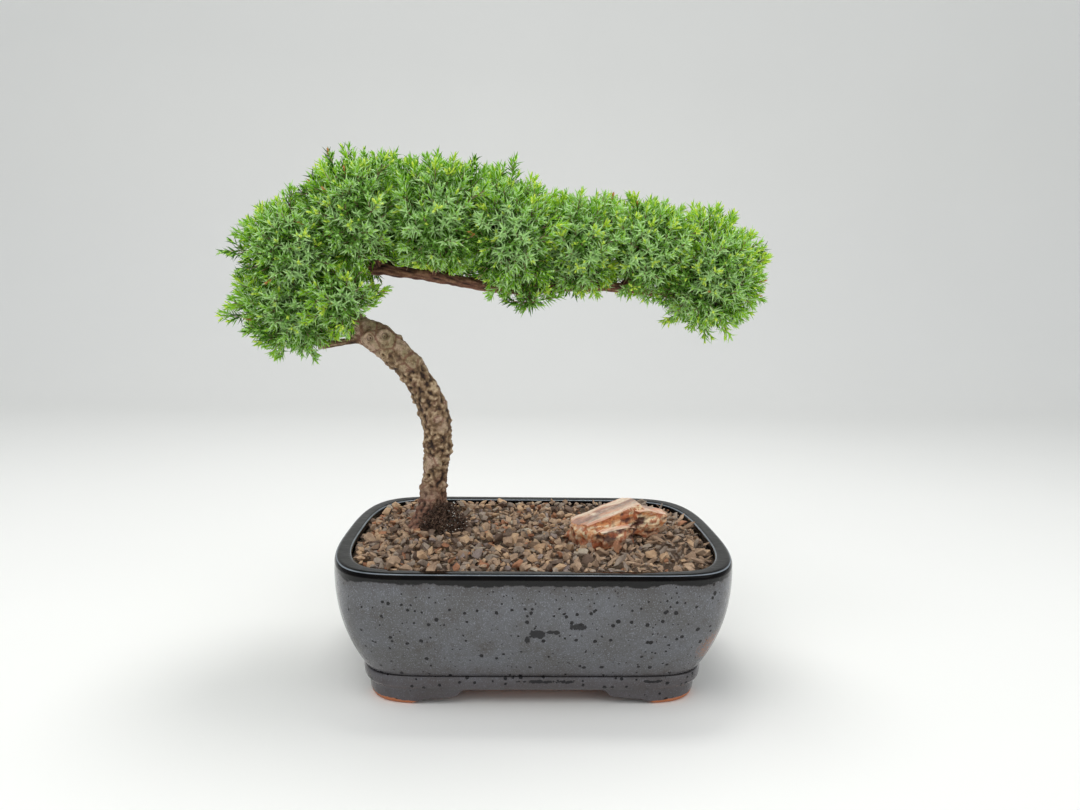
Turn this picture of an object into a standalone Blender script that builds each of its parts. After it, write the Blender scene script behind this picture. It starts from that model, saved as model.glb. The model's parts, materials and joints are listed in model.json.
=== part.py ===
"""A juniper bonsai in its pot: a leaning trunk, one long level bough and clipped masses of foliage.

Everything is set out from the middle of the pot's footprint, in metres, with +X to the right along
the pot's long side, +Y to the back and +Z up from the surface that the feet stand on. At the end the
whole plant is moved so that the middle of its bounding box, at the bottom, is the origin.
"""

import math
import random
from collections import namedtuple

import bmesh
import bpy
from mathutils import Matrix, Vector, noise
from mathutils.bvhtree import BVHTree

MM = 0.001
TOUCH_GAP = 0.3 * MM
WELD = 0.02 * MM

# The pot's driving sizes
POT_WIDTH = 240 * MM
POT_DEPTH = 190 * MM
POT_HEIGHT = 84 * MM
FOOT_HEIGHT = 10.3 * MM
BODY_BOTTOM = 19 * MM
FOOT_INSET = 20 * MM
PLINTH_INSET = 17.3 * MM
BODY_TAPER = 17.8 * MM
BODY_CURVE = 2.2
WALL = 8.6 * MM
RIM_WIDTH = 9.6 * MM
FLOOR_UNDERSIDE = 11.7 * MM
FLOOR_TOP = 18.5 * MM
LONG_SIDE_POWER = 9.0
RIM_SIDE_POWER = 2.84
BASE_SIDE_POWER = 4.6
PLAN_POINTS = 42
CORNER_WEIGHT = 40 * MM
FRONT_ARCH_HALF = 39 * MM
SIDE_ARCH_HALF = 26 * MM
DRAIN_RADIUS = 9 * MM
DRAIN_OFFSET = 48 * MM

# The soil, with the larger chips of its gravel
SOIL_LEVEL = POT_HEIGHT - 3 * MM
SOIL_EDGE_DROP = 1.5 * MM
SOIL_GAP = 0.4 * MM
SOIL_BUMP = 0.9 * MM
SOIL_BUMP_SIZE = 9 * MM
TRUNK_ROOM = 34 * MM
STONE_ROOM = 46 * MM
CHIP_SPACING = 18.5 * MM
CHIP_JITTER = 0.16
CHIP_SIZE = (21 * MM, 16 * MM, 8 * MM)
CHIP_SIZE_RANGE = (0.8, 1.15)
CHIP_TAPER = (0.4, 0.7)
CHIP_SKEW = 0.12
CHIP_TIP = math.radians(14)
CHIP_RISE = (1.3 * MM, 2.4 * MM)
CHIP_TO_WALL = 13 * MM
CHIP_TO_TRUNK = 28 * MM
CHIP_TO_STONE = 29 * MM
STONE_SPINE = 19 * MM
GRAVEL_SEED = 5

# The stone: rough blocks, placed from the middle of its foot, each flared towards its top
StoneBlock = namedtuple("StoneBlock", "size place tilt flare shift")
STONE_CENTRE = Vector((52 * MM, -12 * MM, 0))
STONE_TURN = math.radians(27)
STONE_BLOCKS = {
    "slab": StoneBlock((46, 22, 20), (-5, -2.5, 9.5), -14, 0.0, 3.1),
    "lobe": StoneBlock((23, 19, 17), (19, 7, 10), 8, 0.45, 8.7),
    "front_lump": StoneBlock((25, 12, 12), (-1, -11.5, 5), -4, 0.2, 5.2),
}
STONE_BALL_RADIUS = 0.62
STONE_ROUNDNESS = 0.35
STONE_ROUGHNESS = 0.10
STONE_WAVES = 2.3
STONE_SEED = 4

# The trunk and the boughs: points on their centre lines, and radii in millimetres, from foot to tip
TRUNK_FOOT = Vector((-69.5 * MM, 17 * MM, SOIL_LEVEL + TOUCH_GAP))
TRUNK_LINE = [
    TRUNK_FOOT,
    Vector((-67.3 * MM, 17 * MM, 97 * MM)),
    Vector((-65.2 * MM, 16 * MM, 118 * MM)),
    Vector((-63.2 * MM, 15 * MM, 137 * MM)),
    Vector((-64.6 * MM, 14 * MM, 153 * MM)),
    Vector((-69 * MM, 13.5 * MM, 168 * MM)),
    Vector((-77 * MM, 13 * MM, 182 * MM)),
    Vector((-87 * MM, 12.5 * MM, 194.5 * MM)),
    Vector((-101 * MM, 12.5 * MM, 206 * MM)),
    Vector((-117 * MM, 13 * MM, 215 * MM)),
    Vector((-126 * MM, 13.5 * MM, 225 * MM)),
]
TRUNK_RADII = [9.2, 8.7, 8.2, 8.9, 9.7, 9.4, 8.8, 9.2, 9.6, 8.6, 6.6]
ROOT_FLARE = 0.35
ROOT_LOBES = (0.26, 0.14)
ROOT_TURN = 0.6
LEFT_ROOT = 1.5
ROOT_FLARE_HEIGHT = 5.6 * MM
ROOT_FLARE_TOP = 18 * MM
ROOT_COUNT = 5
FOOT_RING_REACH = 2.5 * MM
KNOT_HEIGHT = 1.1 * MM
KNOT_SIZE = 7 * MM
KNOT_ROOM = 1.7 * MM
FOOT_SETTLED = 4 * MM
TIP_SETTLED = (8 * MM, 6 * MM)

LONG_BOUGH_LINE = [
    Vector((-124 * MM, 14 * MM, 245 * MM)),
    Vector((-114 * MM, 14.5 * MM, 250.5 * MM)),
    Vector((-102 * MM, 14 * MM, 251.5 * MM)),
    Vector((-86 * MM, 13 * MM, 249.5 * MM)),
    Vector((-66 * MM, 12 * MM, 247 * MM)),
    Vector((-41 * MM, 12 * MM, 243 * MM)),
    Vector((-10 * MM, 12 * MM, 240 * MM)),
    Vector((22 * MM, 12 * MM, 242 * MM)),
    Vector((54 * MM, 12 * MM, 242 * MM)),
    Vector((80 * MM, 11 * MM, 239 * MM)),
    Vector((93 * MM, 11 * MM, 238.5 * MM)),
]
LONG_BOUGH_RADII = [6.2, 5.9, 5.3, 4.6, 4.1, 3.9, 3.7, 3.6, 3.5, 3.3, 3.1, 2.9, 2.7, 2.5]
LONG_BOUGH_RISE = 8 * MM

STUB_START = Vector((-106 * MM, 11 * MM, 207 * MM))
STUB_TOWARD = Vector((-1.0, -0.25, -0.16))
STUB_LENGTH = 24 * MM
STUB_RADII = [2.3, 2.1, 2.4]

SIDE_BOUGH_RADII = [2.4, 2.0, 1.7]
SIDE_BOUGH_SHORTEST = 8 * MM
SIDE_BOUGH_RISE = 0.07
STEM_RADIUS = 1.4 * MM

# The foliage. Each mass keeps to an ellipsoid of space, which ends where a neighbour's begins.
# A leader is a point on the crown's outline that one long shoot of the mass reaches.
Mass = namedtuple("Mass", "centre reach parent station leaders")
CORE_SHARE = 0.76
CORE_LUMP = 0.10
CORE_LUMP_SIZE = 14 * MM
SPRAY_SPACING = 20.5 * MM
SPRAY_SPREAD = 8 * MM
SPRAY_LENGTH = 19 * MM
SPRAY_SLIMNESS = 0.42
SPRAY_LEAN = 0.11
SPRAY_OVERSHOOT = 1.16
LEADER_ROOT = 0.45
VALLEY_SHARE = 0.30
VALLEY_HEIGHT = 0.42
NEEDLE_SPREAD = (0.8, 1.1)
NEEDLE_HEIGHT = (0.60, 0.78)
SIDE_NEEDLES = 2
LEADER_NEEDLES = 3
SMALLER_SPRAY = 0.65
FREE_SHARE = 0.8
EDGE_STEPS = 60
NEIGHBOUR_MARGIN = 0.02
LIMB_MARGIN = 1.0 * MM
FOLIAGE_SEED = 7
FOLIAGE_SOLVER = "MANIFOLD"

MASSES = {
    "foliage_low_left": Mass(
        (-151, 8, 226), (41, 36, 29), "trunk", 0.90, [(-203, 2, 219), (-196, -2, 226), (-176, -4, 201)]
    ),
    "foliage_low_front": Mass((-118, -17, 232), (25, 19, 26), "trunk", 0.88, [(-92, -12, 237)]),
    "foliage_shoulder_front": Mass(
        (-148, -12, 261), (38, 30, 29), "bough_long", 0.22, [(-172, -4, 288), (-184, -9, 268)]
    ),
    "foliage_shoulder_back": Mass((-146, 38, 260), (38, 34, 30), "bough_long", 0.26, []),
    "foliage_crown_left_front": Mass(
        (-110, -13, 281), (37, 33, 38), "bough_long", 0.34, [(-142, -4, 301), (-95, 0, 322)]
    ),
    "foliage_crown_left_back": Mass((-106, 38, 283), (40, 35, 41), "bough_long", 0.38, [(-111, 16, 329)]),
    "foliage_crown_mid_front": Mass(
        (-61, -14, 280), (37, 33, 39), "bough_long", 0.50, [(-62, -4, 324), (-81, 0, 319)]
    ),
    "foliage_crown_mid_back": Mass((-58, 38, 280), (38, 35, 40), "bough_long", 0.53, [(-51, 20, 322)]),
    "foliage_crown_right_front": Mass(
        (-18, -12, 273), (35, 31, 38), "bough_long", 0.63, [(-14, -4, 322), (-33, -2, 316)]
    ),
    "foliage_crown_right_back": Mass((-16, 37, 272), (35, 33, 38), "bough_long", 0.66, [(-25, 20, 319)]),
    "foliage_middle_right": Mass(
        (27, 11, 267), (38, 41, 33), "bough_long", 0.74, [(17, 2, 302), (39, 14, 303)]
    ),
    "foliage_right": Mass(
        (70, 11, 265), (37, 38, 33), "bough_long", 0.84, [(58, 4, 302), (81, 10, 295), (70, -7, 231)]
    ),
    "foliage_tip": Mass(
        (112, 9, 252),
        (35, 36, 41),
        "bough_long",
        1.0,
        [
            (152, 6, 263),
            (127, 8, 293),
            (113, 4, 293),
            (147, 4, 234),
            (134, 2, 220),
            (109, 2, 207),
            (82, 0, 218),
        ],
    ),
    "foliage_under_bough": Mass((-4, -3, 233), (16, 13, 6), "bough_long", 0.70, []),
}

# A bough aims at the middle of its mass, or else at a point given here
BOUGH_AIMS = {"foliage_low_left": (-146, 1, 209)}


def clear_scene():
    for obj in list(bpy.data.objects):
        bpy.data.objects.remove(obj)


def new_collection(name, parent):
    collection = bpy.data.collections.new(name)
    parent.children.link(collection)
    return collection


def make_material(name, colour, roughness, metallic=0.0):
    material = bpy.data.materials.new(name)
    material.use_nodes = True
    shader = material.node_tree.nodes["Principled BSDF"]
    shader.inputs["Base Color"].default_value = (*colour, 1.0)
    shader.inputs["Roughness"].default_value = roughness
    shader.inputs["Metallic"].default_value = metallic
    material.diffuse_color = (*colour, 1.0)
    return material


def object_from_bmesh(name, shape, collection):
    mesh = bpy.data.meshes.new(name)
    shape.to_mesh(mesh)
    shape.free()
    obj = bpy.data.objects.new(name, mesh)
    collection.objects.link(obj)
    return obj


def mesh_from_evaluated(obj, collection, weld=0.0):
    """The object's evaluated shape as a plain mesh object of the same name; the first object is removed."""
    bpy.context.view_layer.update()
    graph = bpy.context.evaluated_depsgraph_get()
    mesh = bpy.data.meshes.new_from_object(obj.evaluated_get(graph))
    name, matrix = obj.name, obj.matrix_world.copy()
    bpy.data.objects.remove(obj)
    shape = bmesh.new()
    shape.from_mesh(mesh)
    if weld:
        bmesh.ops.remove_doubles(shape, verts=shape.verts, dist=weld)
        bmesh.ops.recalc_face_normals(shape, faces=shape.faces)
    shape.to_mesh(mesh)
    shape.free()
    made = bpy.data.objects.new(name, mesh)
    made.matrix_world = matrix
    collection.objects.link(made)
    return made


def apply_boolean(obj, cutters, operation, collection, solver="EXACT"):
    """Joins or cuts obj by every object of the cutters' collection, and then removes those."""
    modifier = obj.modifiers.new(operation.title(), "BOOLEAN")
    modifier.operation = operation
    modifier.operand_type = "COLLECTION"
    modifier.collection = cutters
    modifier.solver = solver
    made = mesh_from_evaluated(obj, collection)
    for cutter in list(cutters.objects):
        bpy.data.objects.remove(cutter)
    return made


def keep_largest_island(obj):
    """Drops the loose scraps that a cut leaves."""
    shape = bmesh.new()
    shape.from_mesh(obj.data)
    islands, seen = [], set()
    for start in shape.verts:
        if start in seen:
            continue
        island, queue = [], [start]
        seen.add(start)
        while queue:
            vert = queue.pop()
            island.append(vert)
            for edge in vert.link_edges:
                other = edge.other_vert(vert)
                if other not in seen:
                    seen.add(other)
                    queue.append(other)
        islands.append(island)
    islands.sort(key=len, reverse=True)
    scraps = [vert for island in islands[1:] for vert in island]
    bmesh.ops.delete(shape, geom=scraps, context="VERTS")
    shape.to_mesh(obj.data)
    shape.free()


def smooth_line(points, steps):
    """Points on a Catmull-Rom curve through the given points, with the share of the way of each."""
    padded = [2 * points[0] - points[1], *points, 2 * points[-1] - points[-2]]
    line = []
    for i in range(len(points) - 1):
        a, b, c, d = padded[i : i + 4]
        for k in range(steps):
            t = k / steps
            point = 0.5 * (
                2 * b + (c - a) * t + (2 * a - 5 * b + 4 * c - d) * t**2 + (3 * b - a - 3 * c + d) * t**3
            )
            line.append((point, i + t))
    line.append((points[-1].copy(), float(len(points) - 1)))
    return line


def value_at(values, place):
    """The value between two neighbours of a list, at a place counted in list steps."""
    low = min(int(place), len(values) - 2)
    share = place - low
    return values[low] * (1 - share) + values[low + 1] * share


class Limb:
    """A tapering limb: its centre line, the radius at each point, and how far points lie from it."""

    def __init__(self, points, radii_mm, steps, knots=0.0):
        line = smooth_line(points, steps)
        self.points = [point for point, _ in line]
        self.radii = [value_at(radii_mm, place) * MM for _, place in line]
        self.knots = knots

    def at(self, station):
        """The point and radius at a share of the limb's length, from 0 at its foot to 1 at its tip."""
        place = station * (len(self.points) - 1)
        return value_at(self.points, place), value_at(self.radii, place)

    def clearance(self, point):
        """The distance from a point to the limb's surface."""
        nearest = 1.0
        for i in range(len(self.points) - 1):
            a, b = self.points[i], self.points[i + 1]
            along = b - a
            share = max(0.0, min(1.0, (point - a).dot(along) / along.length_squared))
            radius = self.radii[i] * (1 - share) + self.radii[i + 1] * share
            nearest = min(nearest, (point - a - along * share).length - radius)
        return nearest - self.knots

    def end_direction(self):
        return (self.points[-1] - self.points[-2]).normalized()

    def tube(self, name, collection, resolution, grow=0.0, longer=0.0):
        """The limb as a closed mesh tube, or a fatter and longer one that clears room for it."""
        points = [point.copy() for point in self.points]
        points[0] += (points[0] - points[1]).normalized() * longer
        points[-1] += (points[-1] - points[-2]).normalized() * longer
        data = bpy.data.curves.new(name, "CURVE")
        data.dimensions = "3D"
        data.bevel_depth = 1.0
        data.bevel_resolution = resolution
        data.use_fill_caps = True
        spline = data.splines.new("POLY")
        spline.points.add(len(points) - 1)
        for target, point, radius in zip(spline.points, points, self.radii):
            target.co = (*point, 1.0)
            target.radius = radius + grow + (self.knots if grow else 0)
        curve = bpy.data.objects.new(name, data)
        collection.objects.link(curve)
        return mesh_from_evaluated(curve, collection, WELD)


def plan_outline(half_width, half_depth, side_power, count):
    """A rectangle with bowed short sides and round corners, with its points closer in the corners."""
    fine = 1440
    dense = []
    for k in range(fine):
        turn = 2 * math.pi * k / fine
        c, s = math.cos(turn), math.sin(turn)
        dense.append(
            Vector(
                (
                    math.copysign(abs(c) ** (2 / LONG_SIDE_POWER) * half_width, c),
                    math.copysign(abs(s) ** (2 / side_power) * half_depth, s),
                )
            )
        )
    passed = [0.0]
    for k in range(fine):
        here, after = dense[k], dense[(k + 1) % fine]
        step = after - here
        before = here - dense[k - 1]
        bend = abs(before.angle(step)) if before.length > 0 and step.length > 0 else 0.0
        passed.append(passed[-1] + step.length + CORNER_WEIGHT * bend)
    outline, k = [], 0
    for i in range(count):
        wanted = passed[-1] * i / count
        while passed[k + 1] < wanted:
            k += 1
        share = (wanted - passed[k]) / (passed[k + 1] - passed[k])
        outline.append(dense[k].lerp(dense[(k + 1) % fine], share))
    return outline


def body_share(height):
    return max(0.0, min(1.0, (height - BODY_BOTTOM) / (POT_HEIGHT - BODY_BOTTOM)))


def body_inset(height):
    """How far the pot's wall lies inside its rim at a height."""
    return BODY_TAPER * (1 - body_share(height)) ** BODY_CURVE


def pot_ring(inset, height, count=PLAN_POINTS):
    side_power = BASE_SIDE_POWER + (RIM_SIDE_POWER - BASE_SIDE_POWER) * body_share(height)
    outline = plan_outline(POT_WIDTH / 2 - inset, POT_DEPTH / 2 - inset, side_power, count)
    return [Vector((point.x, point.y, height)) for point in outline]


def loft(name, rings, collection):
    """A closed solid through rings of equally many points, with its two ends capped."""
    shape = bmesh.new()
    loops = [[shape.verts.new(point) for point in ring] for ring in rings]
    count = len(rings[0])
    for low, high in zip(loops, loops[1:]):
        for i in range(count):
            shape.faces.new((low[i], low[(i + 1) % count], high[(i + 1) % count], high[i]))
    shape.faces.new(loops[0])
    shape.faces.new(loops[-1])
    bmesh.ops.recalc_face_normals(shape, faces=shape.faces)
    return object_from_bmesh(name, shape, collection)


def inner_wall_heights():
    return [FLOOR_TOP + (SOIL_LEVEL - 2 * MM - FLOOR_TOP) * share for share in (0, 0.07, 0.25, 0.55, 1)]


def inner_inset(height):
    """The inset of the pot's inner wall, which turns in to meet the floor."""
    corner = max(0.0, 1 - (height - FLOOR_TOP) / (4 * MM))
    return body_inset(max(height, BODY_BOTTOM)) + WALL + 3.5 * MM * corner**2


def pot_profile():
    """Insets and heights round the pot's section: underside, foot, plinth, body, rim and inside."""
    outside = [
        (FOOT_INSET + 10 * MM, FLOOR_UNDERSIDE),
        (FOOT_INSET + 10.5 * MM, 0.6 * MM),
        (FOOT_INSET + 9.8 * MM, 0),
        (FOOT_INSET + 2.2 * MM, 0),
        (FOOT_INSET + 0.9 * MM, 1.8 * MM),
        (FOOT_INSET, FOOT_HEIGHT - 1 * MM),
        (PLINTH_INSET + 2 * MM, FOOT_HEIGHT),
        (PLINTH_INSET + 0.3 * MM, FOOT_HEIGHT + 2 * MM),
        (PLINTH_INSET, BODY_BOTTOM - 2.6 * MM),
        (PLINTH_INSET + 0.6 * MM, BODY_BOTTOM - 1 * MM),
        (BODY_TAPER + 0.9 * MM, BODY_BOTTOM - 0.6 * MM),
    ]
    body = []
    for share in (0.0, 0.12, 0.28, 0.48, 0.72):
        height = BODY_BOTTOM + (POT_HEIGHT - 2.6 * MM - BODY_BOTTOM) * share
        body.append((body_inset(height), height))
    rim = [
        (0, POT_HEIGHT - 2.6 * MM),
        (0.5 * MM, POT_HEIGHT - 0.8 * MM),
        (2 * MM, POT_HEIGHT),
        (RIM_WIDTH - 1.6 * MM, POT_HEIGHT - 0.3 * MM),
        (RIM_WIDTH, POT_HEIGHT - 1.8 * MM),
    ]
    inside = [(inner_inset(height), height) for height in reversed(inner_wall_heights())]
    return outside + body + rim + inside


def flat_cutter(name, outline, half_length, turn, collection):
    """A flat outline, in millimetres across and up, drawn out along Y and turned about Z."""
    data = bpy.data.curves.new(name, "CURVE")
    data.dimensions = "2D"
    data.fill_mode = "BOTH"
    data.extrude = half_length
    spline = data.splines.new("POLY")
    spline.points.add(len(outline) - 1)
    spline.use_cyclic_u = True
    for target, (across, up) in zip(spline.points, outline):
        target.co = (across * MM, up * MM, 0, 1)
    curve = bpy.data.objects.new(name, data)
    curve.matrix_world = Matrix.Rotation(turn, 4, "Z") @ Matrix.Rotation(math.radians(90), 4, "X")
    collection.objects.link(curve)
    return mesh_from_evaluated(curve, collection, WELD)


def arch_outline(half_mm):
    """The gap between two feet: high in the middle, with an S at each end and a low step over a toe."""
    top = FOOT_HEIGHT / MM - 0.6
    half = [
        (half_mm, top),
        (half_mm + 2, top - 0.8),
        (half_mm + 4.3, top - 2.8),
        (half_mm + 7, 5.2),
        (half_mm + 22, 3.7),
        (half_mm + 27, 2.2),
        (half_mm + 31, 0.5),
        (half_mm + 32, -1.0),
    ]
    return half + [(-across, up) for across, up in reversed(half)]


def build_pot(collection, cutters):
    rings = [pot_ring(inset, height) for inset, height in pot_profile()]
    pot = loft("pot", rings, collection)
    flat_cutter("front_arch", arch_outline(FRONT_ARCH_HALF / MM), POT_DEPTH, 0, cutters)
    flat_cutter("side_arch", arch_outline(SIDE_ARCH_HALF / MM), POT_WIDTH, math.radians(90), cutters)
    for side in (-1, 1):
        drill = bmesh.new()
        bmesh.ops.create_cone(
            drill,
            cap_ends=True,
            segments=16,
            radius1=DRAIN_RADIUS,
            radius2=DRAIN_RADIUS,
            depth=4 * FLOOR_TOP,
            matrix=Matrix.Translation((side * DRAIN_OFFSET, 0, 0)),
        )
        object_from_bmesh("drain_hole", drill, cutters)
    return apply_boolean(pot, cutters, "DIFFERENCE", collection)


def soil_height(x, y, level):
    """The soil's top, level by the trunk and the stone and a little uneven elsewhere."""
    near_seat = min(
        math.hypot(x - TRUNK_FOOT.x, y - TRUNK_FOOT.y) / TRUNK_ROOM,
        math.hypot(x - STONE_CENTRE.x, y - STONE_CENTRE.y) / STONE_ROOM,
    )
    loose = max(0.0, min(1.0, (near_seat - 0.8) / 0.4))
    return level + loose * SOIL_BUMP * (noise.noise(Vector((x, y, 0)) / SOIL_BUMP_SIZE) - 1)


def gravel_places(rng):
    """Places a spacing apart all over the soil, but not by the pot's wall, the trunk or the stone."""
    half_x = POT_WIDTH / 2 - inner_inset(SOIL_LEVEL) - CHIP_TO_WALL
    half_y = POT_DEPTH / 2 - inner_inset(SOIL_LEVEL) - CHIP_TO_WALL
    spine = Vector((math.cos(STONE_TURN), math.sin(STONE_TURN)))
    row_step = CHIP_SPACING * math.sqrt(3) / 2
    rows, columns = int(half_y / row_step) + 1, int(half_x / CHIP_SPACING) + 1
    for row in range(-rows, rows + 1):
        for column in range(-columns, columns + 1):
            place = Vector(((column + 0.5 * (row % 2)) * CHIP_SPACING, row * row_step))
            place += Vector((rng.uniform(-1, 1), rng.uniform(-1, 1))) * CHIP_SPACING * CHIP_JITTER
            from_stone = place - STONE_CENTRE.xy
            beside = max(-STONE_SPINE, min(STONE_SPINE, from_stone.dot(spine)))
            if (
                abs(place.x / half_x) ** LONG_SIDE_POWER + abs(place.y / half_y) ** RIM_SIDE_POWER < 1
                and (place - TRUNK_FOOT.xy).length > CHIP_TO_TRUNK
                and (from_stone - spine * beside).length > CHIP_TO_STONE
            ):
                yield place


def gravel_chip(place, rng, collection):
    """One of the larger chips of gravel: a skewed block that narrows upwards, half sunk in the soil."""
    shape = bmesh.new()
    bmesh.ops.create_cone(
        shape,
        cap_ends=True,
        segments=rng.choice((4, 5)),
        radius1=0.5,
        radius2=0.5 * rng.uniform(*CHIP_TAPER),
        depth=1.0,
    )
    skew = Matrix.Shear("XY", 4, (rng.uniform(-1, 1) * CHIP_SKEW, rng.uniform(-1, 1) * CHIP_SKEW))
    size = Matrix.Diagonal((*[length * rng.uniform(*CHIP_SIZE_RANGE) for length in CHIP_SIZE], 1.0))
    tip = Matrix.Rotation(rng.uniform(-1, 1) * CHIP_TIP, 4, "Y")
    turn = Matrix.Rotation(rng.uniform(0, math.pi), 4, "Z") @ tip
    bmesh.ops.transform(shape, matrix=turn @ size @ skew, verts=shape.verts)
    top = max(vert.co.z for vert in shape.verts)
    rise = SOIL_LEVEL + rng.uniform(*CHIP_RISE) - top
    bmesh.ops.translate(shape, vec=(place.x, place.y, rise), verts=shape.verts)
    return object_from_bmesh("gravel_chip", shape, collection)


def build_soil(collection, helpers):
    """The root ball: it fills the pot to just under the rim, with the larger chips of its gravel."""
    rings = [pot_ring(inner_inset(height) + SOIL_GAP, height) for height in inner_wall_heights()]
    rings[0] = [Vector((point.x, point.y, FLOOR_TOP + SOIL_GAP)) for point in rings[0]]
    edge = inner_inset(SOIL_LEVEL) + 0.5 * MM
    rings.append(pot_ring(edge + 1.5 * MM, SOIL_LEVEL - SOIL_EDGE_DROP))
    for inset in (6 * MM, 24 * MM, 48 * MM):
        ring = pot_ring(edge + inset, SOIL_LEVEL)
        rings.append([Vector((p.x, p.y, soil_height(p.x, p.y, SOIL_LEVEL))) for p in ring])
    soil = loft("soil", rings, collection)
    rng = random.Random(GRAVEL_SEED)
    for place in gravel_places(rng):
        gravel_chip(place, rng, helpers)
    return apply_boolean(soil, helpers, "UNION", collection)


def stone_block(name, block, foot, collection):
    """One rough block of the stone, from a divided cube with its faces broken by noise."""
    shape = bmesh.new()
    bmesh.ops.create_cube(shape, size=1.0)
    bmesh.ops.subdivide_edges(shape, edges=shape.edges, cuts=2, use_grid_fill=True)
    for vert in shape.verts:
        vert.co = vert.co.lerp(vert.co.normalized() * STONE_BALL_RADIUS, STONE_ROUNDNESS)
        shifted = vert.co * STONE_WAVES + Vector((block.shift, 0, 0))
        vert.co += noise.noise_vector(shifted) * STONE_ROUGHNESS
        vert.co.xy *= 1 + block.flare * vert.co.z
    place = Matrix.Translation(foot + Vector(block.place) * MM)
    turn = Matrix.Rotation(STONE_TURN, 4, "Z") @ Matrix.Rotation(math.radians(block.tilt), 4, "Y")
    size = Matrix.Diagonal((*(Vector(block.size) * MM), 1.0))
    bmesh.ops.transform(shape, matrix=place @ turn @ size, verts=shape.verts)
    return object_from_bmesh(name, shape, collection)


def build_stone(collection, cutters):
    """A chunk of petrified wood: a slab that rises to the right, a lobe beside it and a lump in front."""
    noise.seed_set(STONE_SEED)
    base = SOIL_LEVEL + TOUCH_GAP
    foot = STONE_CENTRE + Vector((0, 0, base))
    slab = stone_block("accent_stone", STONE_BLOCKS["slab"], foot, collection)
    stone_block("lobe", STONE_BLOCKS["lobe"], foot, cutters)
    stone_block("front_lump", STONE_BLOCKS["front_lump"], foot, cutters)
    slab = apply_boolean(slab, cutters, "UNION", collection)
    below = bmesh.new()
    bmesh.ops.create_cube(below, size=1.0)
    depth = 40 * MM
    size = Matrix.Diagonal((200 * MM, 200 * MM, depth, 1.0))
    place = Matrix.Translation((STONE_CENTRE.x, STONE_CENTRE.y, base - depth / 2))
    bmesh.ops.transform(below, matrix=place @ size, verts=below.verts)
    object_from_bmesh("below_stone", below, cutters)
    return apply_boolean(slab, cutters, "DIFFERENCE", collection)


def shape_trunk(trunk):
    """Gives the plain tube its root flare, with a few roots, and the knots of its bark."""
    for vert in trunk.data.vertices:
        if vert.co.z < TRUNK_FOOT.z + FOOT_RING_REACH:
            vert.co.z = TRUNK_FOOT.z
        height = vert.co.z - TRUNK_FOOT.z
        out = vert.normal.copy()
        if height < ROOT_FLARE_TOP:
            axis = Vector((TRUNK_FOOT.x, TRUNK_FOOT.y, vert.co.z))
            out = vert.co - axis
            turn = math.atan2(out.y, out.x)
            near = math.exp(-height / ROOT_FLARE_HEIGHT)
            lobes = ROOT_LOBES[0] + ROOT_LOBES[1] * math.cos(ROOT_COUNT * turn + ROOT_TURN)
            to_left = 0.5 - 0.5 * math.cos(turn)
            vert.co += out * near * ROOT_FLARE * (lobes + LEFT_ROOT * to_left)
            out = out.normalized()
        knots = noise.noise(vert.co / KNOT_SIZE) + 0.5 * noise.noise(vert.co / KNOT_SIZE * 2.3)
        from_tip = (vert.co - TRUNK_LINE[-1]).length
        settled = max(0.0, min(1.0, height / FOOT_SETTLED, (from_tip - TIP_SETTLED[0]) / TIP_SETTLED[1]))
        vert.co += out * knots * KNOT_HEIGHT * settled


def surface_of(obj):
    return BVHTree.FromPolygons(
        [vert.co for vert in obj.data.vertices], [polygon.vertices for polygon in obj.data.polygons]
    )


def seat(surface, start, toward, radius):
    """The point nearest to start where a limb's flat foot, facing toward, stays just clear of the bark."""
    across = toward.orthogonal().normalized()
    turns = [Matrix.Rotation(math.pi * k / 8, 3, toward) @ across * radius for k in range(16)]
    step = 0.05 * MM
    distance = 20 * MM
    while distance > 0:
        foot = start + toward * (distance - step)
        if min(surface.find_nearest(foot + turn)[3] for turn in [Vector(), *turns]) < TOUCH_GAP:
            break
        distance -= step
    return start + toward * distance


def side_bough_line(surface, start, toward, end):
    """Three points from the bark to the end, which is raised a little."""
    first = seat(surface, start, toward, SIDE_BOUGH_RADII[0] * MM)
    length = max((end - first).dot(toward), SIDE_BOUGH_SHORTEST)
    rise = Vector((0, 0, SIDE_BOUGH_RISE * length))
    return [first, first + toward * length / 2, first + toward * length + rise]


class Space:
    """The room that one mass keeps to."""

    def __init__(self, name):
        self.name = name
        self.centre = Vector(MASSES[name].centre) * MM
        self.reach = Vector(MASSES[name].reach) * MM
        self.limbs = []
        self.others = []

    def level(self, point):
        """0 at the centre of the space and 1 on its ellipsoid."""
        offset = point - self.centre
        return math.sqrt(sum((offset[i] / self.reach[i]) ** 2 for i in range(3)))

    def holds(self, point, outermost, limb_margin):
        own = self.level(point)
        if own > outermost:
            return False
        if any(own > other.level(point) - NEIGHBOUR_MARGIN for other in self.others):
            return False
        return all(limb.clearance(point) > limb_margin for limb in self.limbs)

    def edge(self, direction):
        """The distance from the centre to the ellipsoid, and to where the space ends."""
        scaled = math.sqrt(sum((direction[i] / self.reach[i]) ** 2 for i in range(3)))
        full = 1 / scaled
        step = full / EDGE_STEPS
        free = 0.0
        while free + step < full and self.holds(
            self.centre + direction * (free + step), 1.0, LIMB_MARGIN
        ):
            free += step
        return full, free


def even_directions(count, rng):
    """Directions spread evenly over a sphere on a golden spiral, turned at random."""
    golden = math.pi * (3 - math.sqrt(5))
    offset = rng.random() * 2 * math.pi
    for k in range(count):
        z = 1 - (2 * k + 1) / count
        ring = math.sqrt(1 - z * z)
        turn = golden * k + offset
        yield Vector((ring * math.cos(turn), ring * math.sin(turn), z))


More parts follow.
